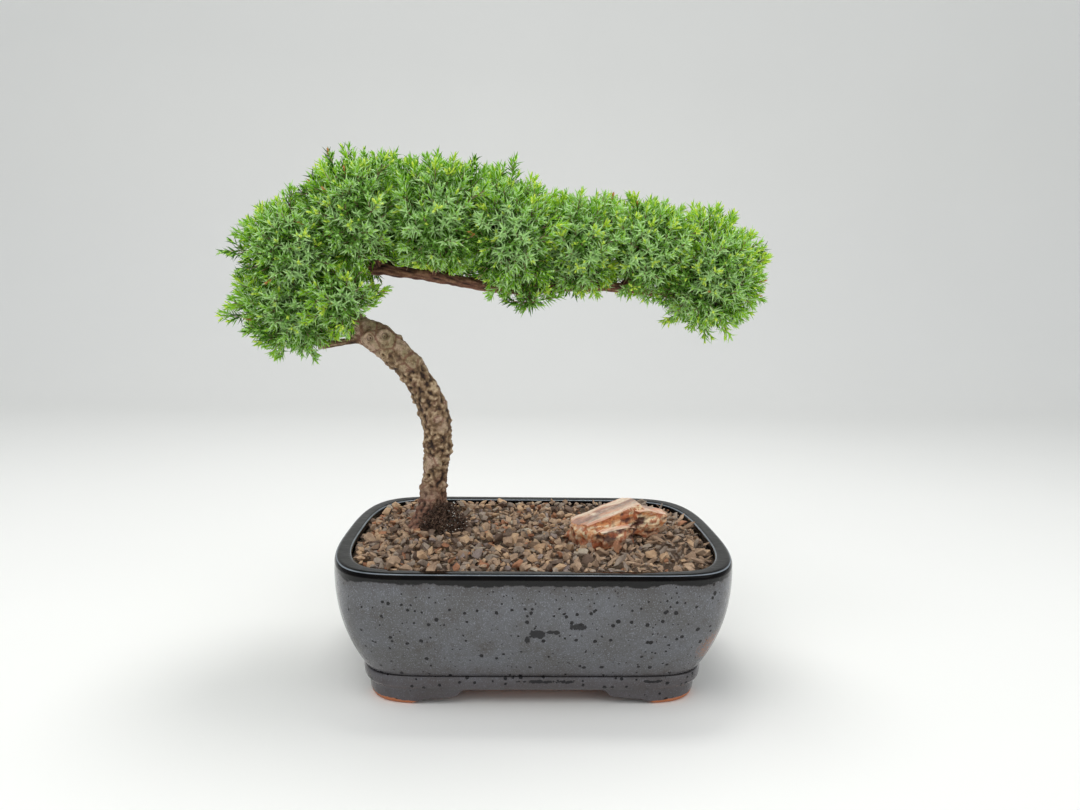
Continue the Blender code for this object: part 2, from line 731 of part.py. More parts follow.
def spray(name, root, tip, spread, side_needles, rng, collection):
    """A shoot that sinks to a point at its root: needles standing out round the one that leads."""
    axis = tip - root
    shape = bmesh.new()
    count = 2 * side_needles
    low = shape.verts.new((0, 0, 0))
    high = shape.verts.new((0, 0, axis.length))
    ring = []
    for i in range(count):
        turn = 2 * math.pi * i / count
        if i % 2 == 0:
            across = spread * rng.uniform(*NEEDLE_SPREAD)
            up = axis.length * rng.uniform(*NEEDLE_HEIGHT)
        else:
            across = spread * VALLEY_SHARE
            up = axis.length * VALLEY_HEIGHT
        ring.append(shape.verts.new((across * math.cos(turn), across * math.sin(turn), up)))
    for i in range(count):
        shape.faces.new((low, ring[(i + 1) % count], ring[i]))
        shape.faces.new((high, ring[i], ring[(i + 1) % count]))
    turn = Matrix.Rotation(rng.random() * 2 * math.pi, 4, "Z")
    aim = axis.to_track_quat("Z", "Y").to_matrix().to_4x4()
    bmesh.ops.transform(shape, matrix=Matrix.Translation(root) @ aim @ turn, verts=shape.verts)
    return object_from_bmesh(name, shape, collection)


def spray_fits(space, obj):
    return all(space.holds(vert.co, SPRAY_OVERSHOOT, LIMB_MARGIN) for vert in obj.data.vertices)


def add_sprays(space, mass, rng, pieces):
    """Shoots from inside the core out to the edge of the space; the leading ones go further."""
    for target in mass.leaders:
        tip = Vector(target) * MM
        root = space.centre.lerp(tip, LEADER_ROOT)
        spray("leader", root, tip, SPRAY_SPREAD, LEADER_NEEDLES, rng, pieces)
    area = 4 * math.pi * ((space.reach.x * space.reach.y * space.reach.z) ** (2 / 3))
    for direction in even_directions(int(area / SPRAY_SPACING**2), rng):
        full, free = space.edge(direction)
        if free < full * FREE_SHARE:
            continue
        length = min(SPRAY_LENGTH, full * 0.6)
        sway = Vector((rng.uniform(-1, 1), rng.uniform(-1, 1), rng.uniform(0, 1.2)))
        lean = sway * SPRAY_LEAN * length
        root = space.centre + direction * (free - length)
        tip = space.centre + direction * free * rng.uniform(0.97, 1.05) + lean
        for size in (1.0, SMALLER_SPRAY):
            end = root + (tip - root) * (0.5 + 0.5 * size)
            spread = min(SPRAY_SPREAD, length * SPRAY_SLIMNESS) * size
            shoot = spray("shoot", root, end, spread, SIDE_NEEDLES, rng, pieces)
            if spray_fits(space, shoot):
                break
            bpy.data.objects.remove(shoot)


def build_core(space, collection):
    """The dense inside of a mass: a ball drawn out to a share of its space all round."""
    shape = bmesh.new()
    bmesh.ops.create_icosphere(shape, subdivisions=2, radius=1.0)
    for vert in shape.verts:
        direction = vert.co.normalized()
        full, free = space.edge(direction)
        lump = 1 + CORE_LUMP * noise.noise((space.centre + direction * full) / CORE_LUMP_SIZE)
        vert.co = space.centre + direction * min(CORE_SHARE * full * lump, free)
    bmesh.ops.recalc_face_normals(shape, faces=shape.faces)
    return object_from_bmesh(space.name, shape, collection)


def build_mass(space, bough, collection, helpers):
    """One mass of foliage: core, stem and shoots joined, with room cut for the limbs that pass."""
    rng = random.Random(f"{FOLIAGE_SEED} {space.name}")
    core = build_core(space, collection)
    tip = bough.points[-1]
    stem = Limb([tip, tip + bough.end_direction() * 3 * MM, space.centre], [STEM_RADIUS / MM] * 3, 1)
    stem.tube("stem", helpers, 1)
    add_sprays(space, MASSES[space.name], rng, helpers)
    made = apply_boolean(core, helpers, "UNION", collection, FOLIAGE_SOLVER)
    reach = max(space.reach) + 20 * MM
    for limb in space.limbs:
        if min((point - space.centre).length for point in limb.points) < reach:
            limb.tube("room", helpers, 2, grow=0.5 * MM, longer=TOUCH_GAP)
    made = apply_boolean(made, helpers, "DIFFERENCE", collection, FOLIAGE_SOLVER)
    keep_largest_island(made)
    return made


def build_limb(limb, name, resolution, collection):
    obj = limb.tube(name, collection, resolution)
    return obj, surface_of(obj)


def entry_point(space, start, aim):
    """Where the straight way from a limb to an aim comes into the dense part of a mass."""
    way = aim - start
    share = 0.0
    while space.level(start + way * share) > CORE_SHARE * 0.92:
        share += 0.01
    return start + way * share


def build_plant(collection, helpers):
    """The trunk, the boughs and the masses they carry: the wooden objects, and the leafy ones."""
    trunk = Limb(TRUNK_LINE, TRUNK_RADII, 3, KNOT_ROOM)
    trunk_object = trunk.tube("trunk", collection, 4)
    shape_trunk(trunk_object)
    bark = {"trunk": surface_of(trunk_object)}
    rise = trunk.end_direction()
    foot = seat(bark["trunk"], trunk.points[-1], rise, LONG_BOUGH_RADII[0] * MM)
    start = [foot, foot + rise * LONG_BOUGH_RISE / 2, foot + rise * LONG_BOUGH_RISE]
    long_bough = Limb([*start, *LONG_BOUGH_LINE], LONG_BOUGH_RADII, 2)
    long_object, bark["bough_long"] = build_limb(long_bough, "bough_long", 2, collection)
    limbs = {"trunk": trunk, "bough_long": long_bough}
    wood = [trunk_object, long_object]
    stub_toward = STUB_TOWARD.normalized()
    stub_foot = seat(bark["trunk"], STUB_START, stub_toward, STUB_RADII[0] * MM)
    stub_line = [stub_foot, stub_foot + stub_toward * STUB_LENGTH / 2, stub_foot + stub_toward * STUB_LENGTH]
    limbs["bough_stub"] = Limb(stub_line, STUB_RADII, 1)
    wood.append(build_limb(limbs["bough_stub"], "bough_stub", 1, collection)[0])
    spaces = {name: Space(name) for name in MASSES}
    carriers = {}
    for name, mass in MASSES.items():
        if mass.station == 1.0:
            carriers[name] = limbs[mass.parent]
            continue
        start = limbs[mass.parent].at(mass.station)[0]
        aim = Vector(BOUGH_AIMS.get(name, mass.centre)) * MM
        end = entry_point(spaces[name], start, aim)
        line = side_bough_line(bark[mass.parent], start, (aim - start).normalized(), end)
        bough_name = name.replace("foliage", "bough")
        carriers[name] = limbs[bough_name] = Limb(line, SIDE_BOUGH_RADII, 2)
        wood.append(build_limb(limbs[bough_name], bough_name, 1, collection)[0])
    for space in spaces.values():
        space.limbs = list(limbs.values())
        space.others = [other for other in spaces.values() if other is not space]
    leaves = [build_mass(spaces[name], carriers[name], collection, helpers) for name in MASSES]
    return wood, leaves


def paint(objects, material):
    for obj in objects:
        obj.data.materials.clear()
        obj.data.materials.append(material)


def shade_round(obj, angle):
    obj.data.shade_smooth()
    obj.data.set_sharp_from_angle(angle=math.radians(angle))


def stand_on_origin(objects):
    """Parents everything to one empty, and moves that so that the origin is under the middle."""
    bpy.context.view_layer.update()
    corners = [obj.matrix_world @ vert.co for obj in objects for vert in obj.data.vertices]
    low = [min(corner[i] for corner in corners) for i in range(3)]
    high = [max(corner[i] for corner in corners) for i in range(3)]
    frame = bpy.data.objects.new("plant_frame", None)
    bpy.context.scene.collection.objects.link(frame)
    for obj in objects:
        obj.parent = frame
    frame.location = (-(low[0] + high[0]) / 2, -(low[1] + high[1]) / 2, -low[2])


def main():
    clear_scene()
    root = bpy.context.scene.collection
    collection = new_collection("juniper_bonsai", root)
    helpers = new_collection("helpers", root)
    pot = build_pot(collection, helpers)
    soil = build_soil(collection, helpers)
    stone = build_stone(collection, helpers)
    wood, leaves = build_plant(collection, helpers)
    shade_round(pot, 35)
    for limb in wood:
        shade_round(limb, 60)
    paint([pot], make_material("glaze", (0.10, 0.11, 0.125), 0.18))
    paint([soil], make_material("gravel", (0.26, 0.21, 0.17), 0.9))
    paint([stone], make_material("petrified_wood", (0.62, 0.42, 0.30), 0.75))
    paint(wood, make_material("bark", (0.32, 0.25, 0.18), 0.85))
    paint(leaves, make_material("needles", (0.17, 0.36, 0.10), 0.6))
    stand_on_origin([pot, soil, stone, *wood, *leaves])


main()
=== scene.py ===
"""The looks of a juniper bonsai: its glazed pot, gravel, petrified wood, bark and needles.

All sizes are in metres. The plant is set out from the middle of the pot's footprint, with +X to the
right, +Y to the back and +Z up. Each piece then stands at POT_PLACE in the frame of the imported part.
"""

import math
import json
from collections import namedtuple

import bmesh
import bpy
import numpy as np
from mathutils import Matrix, Vector, noise
from mathutils.bvhtree import BVHTree

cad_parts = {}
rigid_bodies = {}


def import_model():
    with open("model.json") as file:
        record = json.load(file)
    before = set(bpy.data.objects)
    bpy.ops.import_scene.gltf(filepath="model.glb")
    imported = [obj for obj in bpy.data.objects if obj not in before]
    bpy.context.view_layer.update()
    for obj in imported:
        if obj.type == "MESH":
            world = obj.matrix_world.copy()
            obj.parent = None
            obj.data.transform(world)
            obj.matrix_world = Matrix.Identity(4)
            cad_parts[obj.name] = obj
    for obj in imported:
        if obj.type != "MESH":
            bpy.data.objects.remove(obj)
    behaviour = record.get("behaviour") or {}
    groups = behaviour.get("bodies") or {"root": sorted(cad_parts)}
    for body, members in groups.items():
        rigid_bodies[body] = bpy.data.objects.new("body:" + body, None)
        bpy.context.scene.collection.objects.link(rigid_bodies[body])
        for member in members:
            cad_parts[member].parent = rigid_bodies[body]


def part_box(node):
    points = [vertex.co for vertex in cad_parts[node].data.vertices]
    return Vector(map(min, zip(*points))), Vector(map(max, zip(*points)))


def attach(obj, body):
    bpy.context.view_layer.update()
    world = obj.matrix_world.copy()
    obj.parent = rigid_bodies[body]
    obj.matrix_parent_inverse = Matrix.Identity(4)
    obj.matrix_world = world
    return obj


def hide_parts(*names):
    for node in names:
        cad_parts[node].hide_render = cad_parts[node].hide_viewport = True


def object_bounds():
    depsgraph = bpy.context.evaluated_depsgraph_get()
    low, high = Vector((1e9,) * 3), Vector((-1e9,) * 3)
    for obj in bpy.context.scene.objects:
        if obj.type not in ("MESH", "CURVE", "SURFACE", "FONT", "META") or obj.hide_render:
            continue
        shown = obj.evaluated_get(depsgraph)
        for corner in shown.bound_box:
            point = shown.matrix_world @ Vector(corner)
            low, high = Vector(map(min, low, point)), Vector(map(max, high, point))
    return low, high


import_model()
CAD_LOW, CAD_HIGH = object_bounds()

MM = 0.001
TOUCH_GAP = 0.3 * MM
UP = Vector((0, 0, 1))


def in_mm(*points):
    """Points that are given in millimetres."""
    return [Vector(point) * MM for point in points]


# Sizes read from the frame
POT_LOW, POT_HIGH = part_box("pot")
POT_PLACE = Vector(((POT_LOW.x + POT_HIGH.x) / 2, (POT_LOW.y + POT_HIGH.y) / 2, POT_LOW.z))
POT_WIDTH = POT_HIGH.x - POT_LOW.x
POT_DEPTH = POT_HIGH.y - POT_LOW.y
POT_HEIGHT = POT_HIGH.z - POT_LOW.z
SOIL_LEVEL = POT_HEIGHT - 3 * MM

# The floor, from its front edge to where it starts to bend up into the backdrop
FLOOR_FRONT = -3.0
FLOOR_BACK = 1.3
FLOOR_HALF = 4.0
BACKDROP_BEND = 0.7
BACKDROP_TOP = 4.0

# The lights: name, place, size and power
LIGHTS = [
    ("key", (-0.55, -0.75, 1.45), 1.3, 9.5),
    ("top", (0.05, 0.32, 1.38), 0.5, 6.5),
    ("fill", (1.1, -0.9, 0.9), 1.2, 4.0),
]
LIGHT_AIM = Vector((0, 0, 0.15))
SKY_COLOUR = (0.92, 0.96, 1.0, 1.0)
SKY_STRENGTH = 0.64

# The camera, in the pot's coordinates
CAMERA_PLACE = Vector((-0.01403, -0.52447, 0.22534))
CAMERA_AIM = Vector((0.03328, 0.99307, -0.11275))
CAMERA_ROLL = math.radians(0.8967)
CAMERA_LENS = 27.33

# The pot
FOOT_HEIGHT = 10.3 * MM
BODY_BOTTOM = 19 * MM
FOOT_INSET = 20 * MM
PLINTH_INSET = 17.3 * MM
BODY_TAPER = 17.8 * MM
BODY_CURVE = 2.2
WALL = 8.6 * MM
RIM_WIDTH = 9.6 * MM
FLOOR_UNDERSIDE = 11.7 * MM
FLOOR_TOP = 18.5 * MM
LONG_SIDE_POWER = 9.0
RIM_SIDE_POWER = 2.84
BASE_SIDE_POWER = 4.6
FRONT_ARCH_HALF = 39
SIDE_ARCH_HALF = 26
DRAIN_RADIUS = 9 * MM
DRAIN_OFFSET = 48 * MM
DRAIN_SIDES = 48
PLAN_POINTS = 260
CORNER_WEIGHT = 25 * MM
CLAY_EDGE = (1.0 * MM, 2.9 * MM)
RIM_BAND = 5.8 * MM
RIM_FACES = 3.2 * MM
POT_SHARP = math.radians(38)
RING_INSET = FOOT_INSET + 9 * MM

# The glaze's pits are of two kinds: the size of their cells, how many cells have one, and in cells how
# small and large they are
PITS = [(4.0 * MM, 0.86, 0.10, 0.36), (2.6 * MM, 0.46, 0.09, 0.22)]
PIT_BEND = 0.9 * MM

# Smears and streaks of the glaze, in millimetres: middle across and up, half sizes, and -1 in front or 1 behind
SMEARS = [
    (1, 48.5, 6.5, 2.6, -1),
    (-4.5, 45, 1.6, 3.2, -1),
    (10, 50, 3.5, 1.6, -1),
    (23, 53.6, 5.5, 2.0, -1),
    (3, 15.6, 11, 1.1, -1),
    (18, 15.4, 6, 1.0, -1),
    (67, 15.6, 6, 1.0, -1),
    (-38, 44, 6, 3, 1),
    (30, 15.4, 9, 0.7, 1),
]
GLAZE_SPECULAR = 0.34
RIM_SPECULAR = 0.08

# Where the rim's rounded edge is this steep, as the height of its normal, a thin pale line is painted: a
# painted highlight, partly the glaze thinning over the edge
EDGE_STEEPNESS = 0.80
WORN_CENTRE = (102 * MM, -76 * MM, 37 * MM)
WORN_REACH = (13 * MM, 13 * MM, 12 * MM)

# The soil's bed lies under the gravel, whose top comes up to SOIL_LEVEL
BED_LEVEL = SOIL_LEVEL - 3.2 * MM
SOIL_GAP = 0.4 * MM
BED_RINGS = 30
BED_STEP = 2.8 * MM
BED_POINTS = 160
BED_LUMP = 0.7 * MM
BED_LUMP_SIZE = 5 * MM
MOUND_CENTRE = Vector((-59, 9)) * MM
MOUND_REACH = 15 * MM
MOUND_HEIGHT = 7.0 * MM

# Kinds of gravel: how often each comes, and the two colours that it lies between
CHIP_KINDS = {
    "gravel_grey_brown": (0.38, "9e826b", "bea084"),
    "gravel_tan": (0.17, "b79473", "d3b18e"),
    "gravel_slate": (0.18, "8a7a6c", "a99787"),
    "gravel_dark": (0.10, "675447", "806a5a"),
    "gravel_purple_grey": (0.05, "8d7c76", "a19189"),
    "gravel_rust": (0.09, "9f6b4f", "ba8663"),
    "gravel_pale": (0.03, "b0a08c", "c6b7a3"),
}
CRUMB_COLOURS = {"soil_crumbs": ("402d22", "6a5140"), "white_bits": ("e6e1d6", "f2eee6")}

# Chips that stand out in the photo: kind, place and length in millimetres
SINGLE_CHIPS = [
    ("gravel_slate", 24.5, -59, 13),
    ("gravel_slate", -19, -65, 11),
    ("gravel_tan", -40, -75, 11),
    ("gravel_pale", -101, -51, 9),
    ("gravel_tan", -50, -18, 8),
    ("gravel_pale", -37.5, -5, 9),
    ("gravel_grey_brown", -44, -3, 9),
    ("gravel_tan", -84, -42, 10),
    ("gravel_tan", -27, -58, 9),
]
GRAVEL_SEED = 11
CHIP_SHAPES = 36
CHIP_CORNERS = 13
CHIP_TRIES = 6800

# The chips' lengths in millimetres: the middle one, how widely they spread, and the least and largest
CHIP_LENGTH = (5.1, 0.37, 2.2, 10.5)
CHIP_TIP = 0.5
CHIP_SINK = 0.18

# To the right of this line, this share of the chips is slaty: longer and thinner
SLATY_FROM = 30 * MM
SLATY_SHARE = 0.65
SLATY_STRETCH = 1.3
SLATY_SQUEEZE = 0.5

# The dark crumbs on the mound: how far out they lie, and their sizes, in millimetres
CRUMB_COUNT = 2300
CRUMB_REACH = (2, 14)
CRUMB_SIZE = (1.0, 2.7)
WHITE_SIZE = (0.9, 1.5)

# Chips keep off the mound's middle by the first of these, and by up to the second more
BARE_MOUND = (9, 9)

# The stone: rough blocks, placed from the middle of its foot, each flared towards its top
StoneBlock = namedtuple("StoneBlock", "size place tilt flare shift cuts")
STONE_CENTRE = Vector((52 * MM, -12 * MM, 0))
STONE_TURN = math.radians(27)
STONE_BLOCKS = [
    StoneBlock((46, 22, 20), (-5, -2.5, 9.5), -14, 0.0, 3.1, 46),
    StoneBlock((23, 19, 17), (19, 7, 10), 8, 0.45, 8.7, 34),
    StoneBlock((25, 12, 12), (-1, -11.5, 5), -4, 0.2, 5.2, 30),
]
STONE_BALL_RADIUS = 0.62
STONE_ROUNDNESS = 0.35
STONE_ROUGHNESS = 0.10
STONE_WAVES = 2.3
STONE_SEED = 4
STONE_LEDGES = 2.4 * MM
STONE_LUMPS = 5.5 * MM
STONE_FACETS = 6.5 * MM
STONE_STRETCH = 0.18
STONE_SHARP = math.radians(32)

# Hollows in the stone: where, along and across it from its middle and up from the table, how wide and how deep.
# Each hollow is also painted darker, as painted shade
STONE_HOLLOWS = [((9, -13, 90), 4.5, 3.6), ((15, -9, 93), 3.2, 2.6), ((-13, -15, 87), 5.0, 1.6)]

# The trunk and the boughs, from foot to tip, with radii in millimetres
TRUNK_FOOT = Vector((-69.5, 17, SOIL_LEVEL / MM + 0.3)) * MM
TRUNK_LINE = [TRUNK_FOOT] + in_mm(
    (-67.3, 17, 97),
    (-65.2, 16, 118),
    (-63.2, 15, 137),
    (-64.6, 14, 153),
    (-69, 13.5, 168),
    (-77, 13, 182),
    (-87, 12.5, 194.5),
    (-101, 12.5, 206),
    (-117, 13, 215),
    (-126, 13.5, 225),
)
TRUNK_RADII = [9.2, 8.7, 8.2, 8.9, 9.7, 9.4, 8.8, 9.2, 9.6, 8.6, 6.6]
TRUNK_STEPS = 30
TRUNK_SIDES = 120
BARK_SEED = 2

# The trunk goes on under the gravel for so far, and has this radius there
BURIED_LENGTH = 4 * MM
BURIED_RADIUS = 9.6
ROOT_FLARE = 0.35
ROOT_LOBES = (0.26, 0.14)
ROOT_TURN = 0.6
LEFT_ROOT = 1.5
ROOT_FLARE_HEIGHT = 5.6 * MM
ROOT_FLARE_TOP = 18 * MM
ROOT_COUNT = 5

# The bark's knots, bumps, scars and patches, which of them are rough, and the two round knots near the top
KNOT_HEIGHT = 1.1 * MM
KNOT_SIZE = 7 * MM
BUMP_SIZE = 3.5 * MM
SMALL_BUMP_SIZE = 1.9 * MM
LUMP_SIZE = 2.7 * MM
GRAIN_SIZE = 0.8 * MM
SCAR_SIZE = 8.5 * MM
SCAR_SHIFT = 3.3
UNSCARRED = 0.45
PATCH_SIZE = 13 * MM
SMOOTH_FROM = 172 * MM
SMOOTH_FADE = 25 * MM
FOOT_ROUGH_TOP = 108 * MM
FOOT_ROUGH_FADE = 12 * MM
SEAM_SIZE = 13 * MM
EYE_KNOTS = in_mm((-105.6, 3.4, 207.1), (-96.2, 4.0, 208.9))
EYE_REACH = 3.6 * MM
EYE_WALL = 1.3 * MM
EYE_PIT = 1.2 * MM
EYE_CLEAR = 7 * MM
EYE_CIRCLES = 0.3 * MM

# Short spurs of the bark: where their tips are
SPURS = [
    (-52.3, 14.5, 152.4),
    (-57.1, 14.5, 169.8),
    (-59.1, 13.5, 175.7),
    (-77.3, 14.5, 200.0),
    (-87.7, 14.5, 208.4),
    (-76.4, 14.5, 108.7),
    (-53.7, 14.5, 136.6),
    (-74.0, 14.5, 137.9),
    (-78.3, 14.5, 165.7),
    (-87.8, 14.5, 182.1),
    (-96.9, 14.5, 189.6),
    (-60.0, 24.0, 124.0),
    (-70.0, 23.5, 158.0),
    (-84.0, 21.0, 199.0),
]
SPUR_REACH = 2.0 * MM
SPUR_HEIGHT = 1.7

LONG_BOUGH_LINE = in_mm(
    (-126, 13.5, 224.5),
    (-129.5, 13.7, 234),
    (-124, 14, 245),
    (-114, 14.5, 250.5),
    (-102, 14, 251.5),
    (-86, 13, 249.5),
    (-66, 12, 247),
    (-41, 12, 243),
    (-10, 12, 240),
    (22, 12, 242),
    (54, 12, 242),
    (80, 11, 239),
    (93, 11, 238.5),
)
LONG_BOUGH_RADII = [6.2, 5.3, 4.6, 4.1, 3.9, 3.7, 3.6, 3.5, 3.3, 3.1, 2.9, 2.7, 2.5]
LONG_BOUGH_STEPS = 18
LONG_BOUGH_SIDES = 32
STUB_START = Vector((-106, 11, 207)) * MM
STUB_TOWARD = Vector((-1.0, -0.25, -0.16))
STUB_LENGTH = 34 * MM
STUB_RADII = [2.6, 2.1, 2.4]
SIDE_BOUGH_RADII = [2.4, 2.0, 1.7]
SIDE_BOUGH_RISE = 0.07
SIDE_BOUGH_SHARE = 0.72
SIDE_BOUGH_STEPS = 8
SIDE_BOUGH_SIDES = 16

# The masses of foliage, as in the source: each keeps to an ellipsoid, which ends where a neighbour's begins
Mass = namedtuple("Mass", "centre reach parent station leaders")
MASSES = {
    "low_left": Mass(
        (-151, 8, 226), (41, 36, 29), "trunk", 0.90, [(-203, 2, 219), (-196, -2, 226), (-176, -4, 201)]
    ),
    "low_front": Mass((-118, -17, 232), (25, 19, 26), "trunk", 0.88, [(-92, -12, 237)]),
    "shoulder_front": Mass(
        (-148, -12, 261), (38, 30, 29), "bough_long", 0.22, [(-172, -4, 288), (-184, -9, 268)]
    ),
    "shoulder_back": Mass((-146, 38, 260), (38, 34, 30), "bough_long", 0.26, []),
    "crown_left_front": Mass(
        (-110, -13, 281), (37, 33, 38), "bough_long", 0.34, [(-142, -4, 301), (-95, 0, 322)]
    ),
    "crown_left_back": Mass((-106, 38, 283), (40, 35, 41), "bough_long", 0.38, [(-111, 16, 329)]),
    "crown_mid_front": Mass(
        (-61, -14, 280), (37, 33, 39), "bough_long", 0.50, [(-62, -4, 324), (-81, 0, 319)]
    ),
    "crown_mid_back": Mass((-58, 38, 280), (38, 35, 40), "bough_long", 0.53, [(-51, 20, 322)]),
    "crown_right_front": Mass(
        (-18, -12, 273), (35, 31, 38), "bough_long", 0.63, [(-14, -4, 322), (-33, -2, 316)]
    ),
    "crown_right_back": Mass((-16, 37, 272), (35, 33, 38), "bough_long", 0.66, [(-25, 20, 319)]),
    "middle_right": Mass((27, 11, 267), (38, 41, 33), "bough_long", 0.74, [(17, 2, 302), (39, 14, 303)]),
    "right": Mass(
        (70, 11, 265), (37, 38, 33), "bough_long", 0.84, [(58, 4, 302), (81, 10, 295), (70, -7, 231)]
    ),
    "tip": Mass(
        (112, 9, 252),
        (35, 36, 41),
        "bough_long",
        1.0,
        [
            (152, 6, 263),
            (127, 8, 293),
            (113, 4, 293),
            (147, 4, 234),
            (134, 2, 220),
            (109, 2, 207),
            (82, 0, 218),
        ],
    ),
    "under_bough": Mass((-4, -3, 233), (16, 13, 6), "bough_long", 0.70, []),
}
BOUGH_AIMS = {"low_left": (-146, 1, 209)}

# Shoots in a mass: how far apart and how long they are, and how far they reach, as a share of their room
SHOOT_SPACING = 10.4 * MM
SHOOT_LENGTH = (19 * MM, 27 * MM)
SHOOT_REACH = (0.84, 1.05)
LONG_SHOOTS = 0.20
LONG_REACH = (3 * MM, 7 * MM)
BUD_ROOM = 3.4 * MM
OVERLAP = 3 * MM
BRIDGE_FROM = 1.40
BRIDGE_HEIGHT = 8 * MM
LEAST_FREE = 0.60
LEADER_BUD_ROOM = 4.2 * MM
LEADER_ROOT = 0.45
LEADER_VIGOUR = 0.75
BRANCHES = 10
BRANCH_SHARE = 0.45
NEIGHBOUR_MARGIN = 0.02
EDGE_STEPS = 60
AXIS_ROOM = 1.6 * MM
NEEDLE_ROOM = 0.5 * MM
SHOOT_SAG = 0.07
DEAD_TIPS = 0.03

# How often tips are new growth, and shoots light or deep green: on the left, how much more at the top, and how
# much more to the right of the trunk
VIGOUR = (0.22, 0.22, 0.16)
LIGHT_SHARE = (0.24, 0.12, 0.37)
DEEP_SHARE = (0.26, -0.12, -0.14)

# The share of a shoot and of a side shoot, from its foot, whose needles are deep green. Their deep green is
# partly their own colour and partly painted shade inside the crown
DEEP_FOOT = 0.42
SIDE_DEEP_FOOT = 0.16

# How thick the twigs are at their feet and at their tips
STEM_TWIG = (1.3 * MM, 1.0 * MM)
BRANCH_TWIG = (0.95 * MM, 0.6 * MM)
LEADER_TWIG = (0.8 * MM, 0.55 * MM)
JOINT_TWIG = (0.6 * MM, 0.5 * MM)
SHOOT_TWIG = (0.55 * MM, 0.28 * MM)
SIDE_TWIG = (0.32 * MM, 0.2 * MM)

# Any direction that no shoot has, to measure turns from
ASKEW = np.array([0.31, 0.52, 0.79])

# Below these lines, given as across and up from start to end, the long bough and the trunk's top are bare
BARE_LINES = [((-102, 254.5), (-34, 243.5)), ((-113, 212), (-90, 233))]
BARE_DROP = 12 * MM

# Side shoots: how far apart they are, how long at least and for the shoot beyond them, and how they turn up
SIDE_SPACING = 5.8 * MM
SIDE_REACH = 4.0 * MM
SIDE_REACH_SHARE = 0.34
UPWARD = np.array([0, 0, 0.18])

# Each mass draws its random numbers from this seed and its own place in the list
FOLIAGE_SEED = 7

# One needle: its widest place, as a share of its length, and its thickness, as a share of its width
NEEDLE_SHOULDER = 0.36
NEEDLE_KEEL = 0.45

# A stretch of shoot: how far apart its whorls are, and from foot to tip the needles' length, width and lean
Growth = namedtuple("Growth", "spacing first length width lean")
MAIN_GROWTH = Growth(2.55 * MM, 0.10, (9.1 * MM, 6.6 * MM), (1.36 * MM, 1.18 * MM), (64, 36))
SIDE_GROWTH = Growth(2.3 * MM, 0.16, (7.4 * MM, 5.4 * MM), (1.26 * MM, 1.10 * MM), (56, 34))
BUD_GROWTH = Growth(1.1 * MM, 0.0, (3.5 * MM, 2.4 * MM), (1.26 * MM, 1.06 * MM), (27, 9))
KNOB_GROWTH = Growth(1.2 * MM, 0.15, (2.6 * MM, 2.0 * MM), (1.42 * MM, 1.2 * MM), (38, 10))

# The colours of needles, by their places in this list, and the colour of each one's upper face
NEEDLE_COLOURS = [
    ("needle_deep", "41700f", 0.5),
    ("needle_mid", "80b82a", 0.5),
    ("needle_light", "aede38", 0.5),
    ("needle_new", "d6ee4a", 0.45),
    ("needle_dead", "cd9057", 0.7),
    ("needle_silver_dim", "6f9f3e", 0.5),
    ("needle_silver", "bbdf98", 0.5),
    ("needle_new_upper", "dff270", 0.45),
]
DEEP, MID, LIGHT, NEW, DEAD, SILVER_DIM, SILVER, NEW_UPPER = range(8)
UPPER_OF = np.array([SILVER_DIM, SILVER, SILVER, NEW_UPPER, DEAD])
NEEDLE_SPECULAR = 0.22


def colour(code):
    """The linear colour of six hexadecimal digits."""
    parts = [int(code[i : i + 2], 16) / 255 for i in (0, 2, 4)]
    return tuple(p / 12.92 if p <= 0.04045 else ((p + 0.055) / 1.055) ** 2.4 for p in parts)


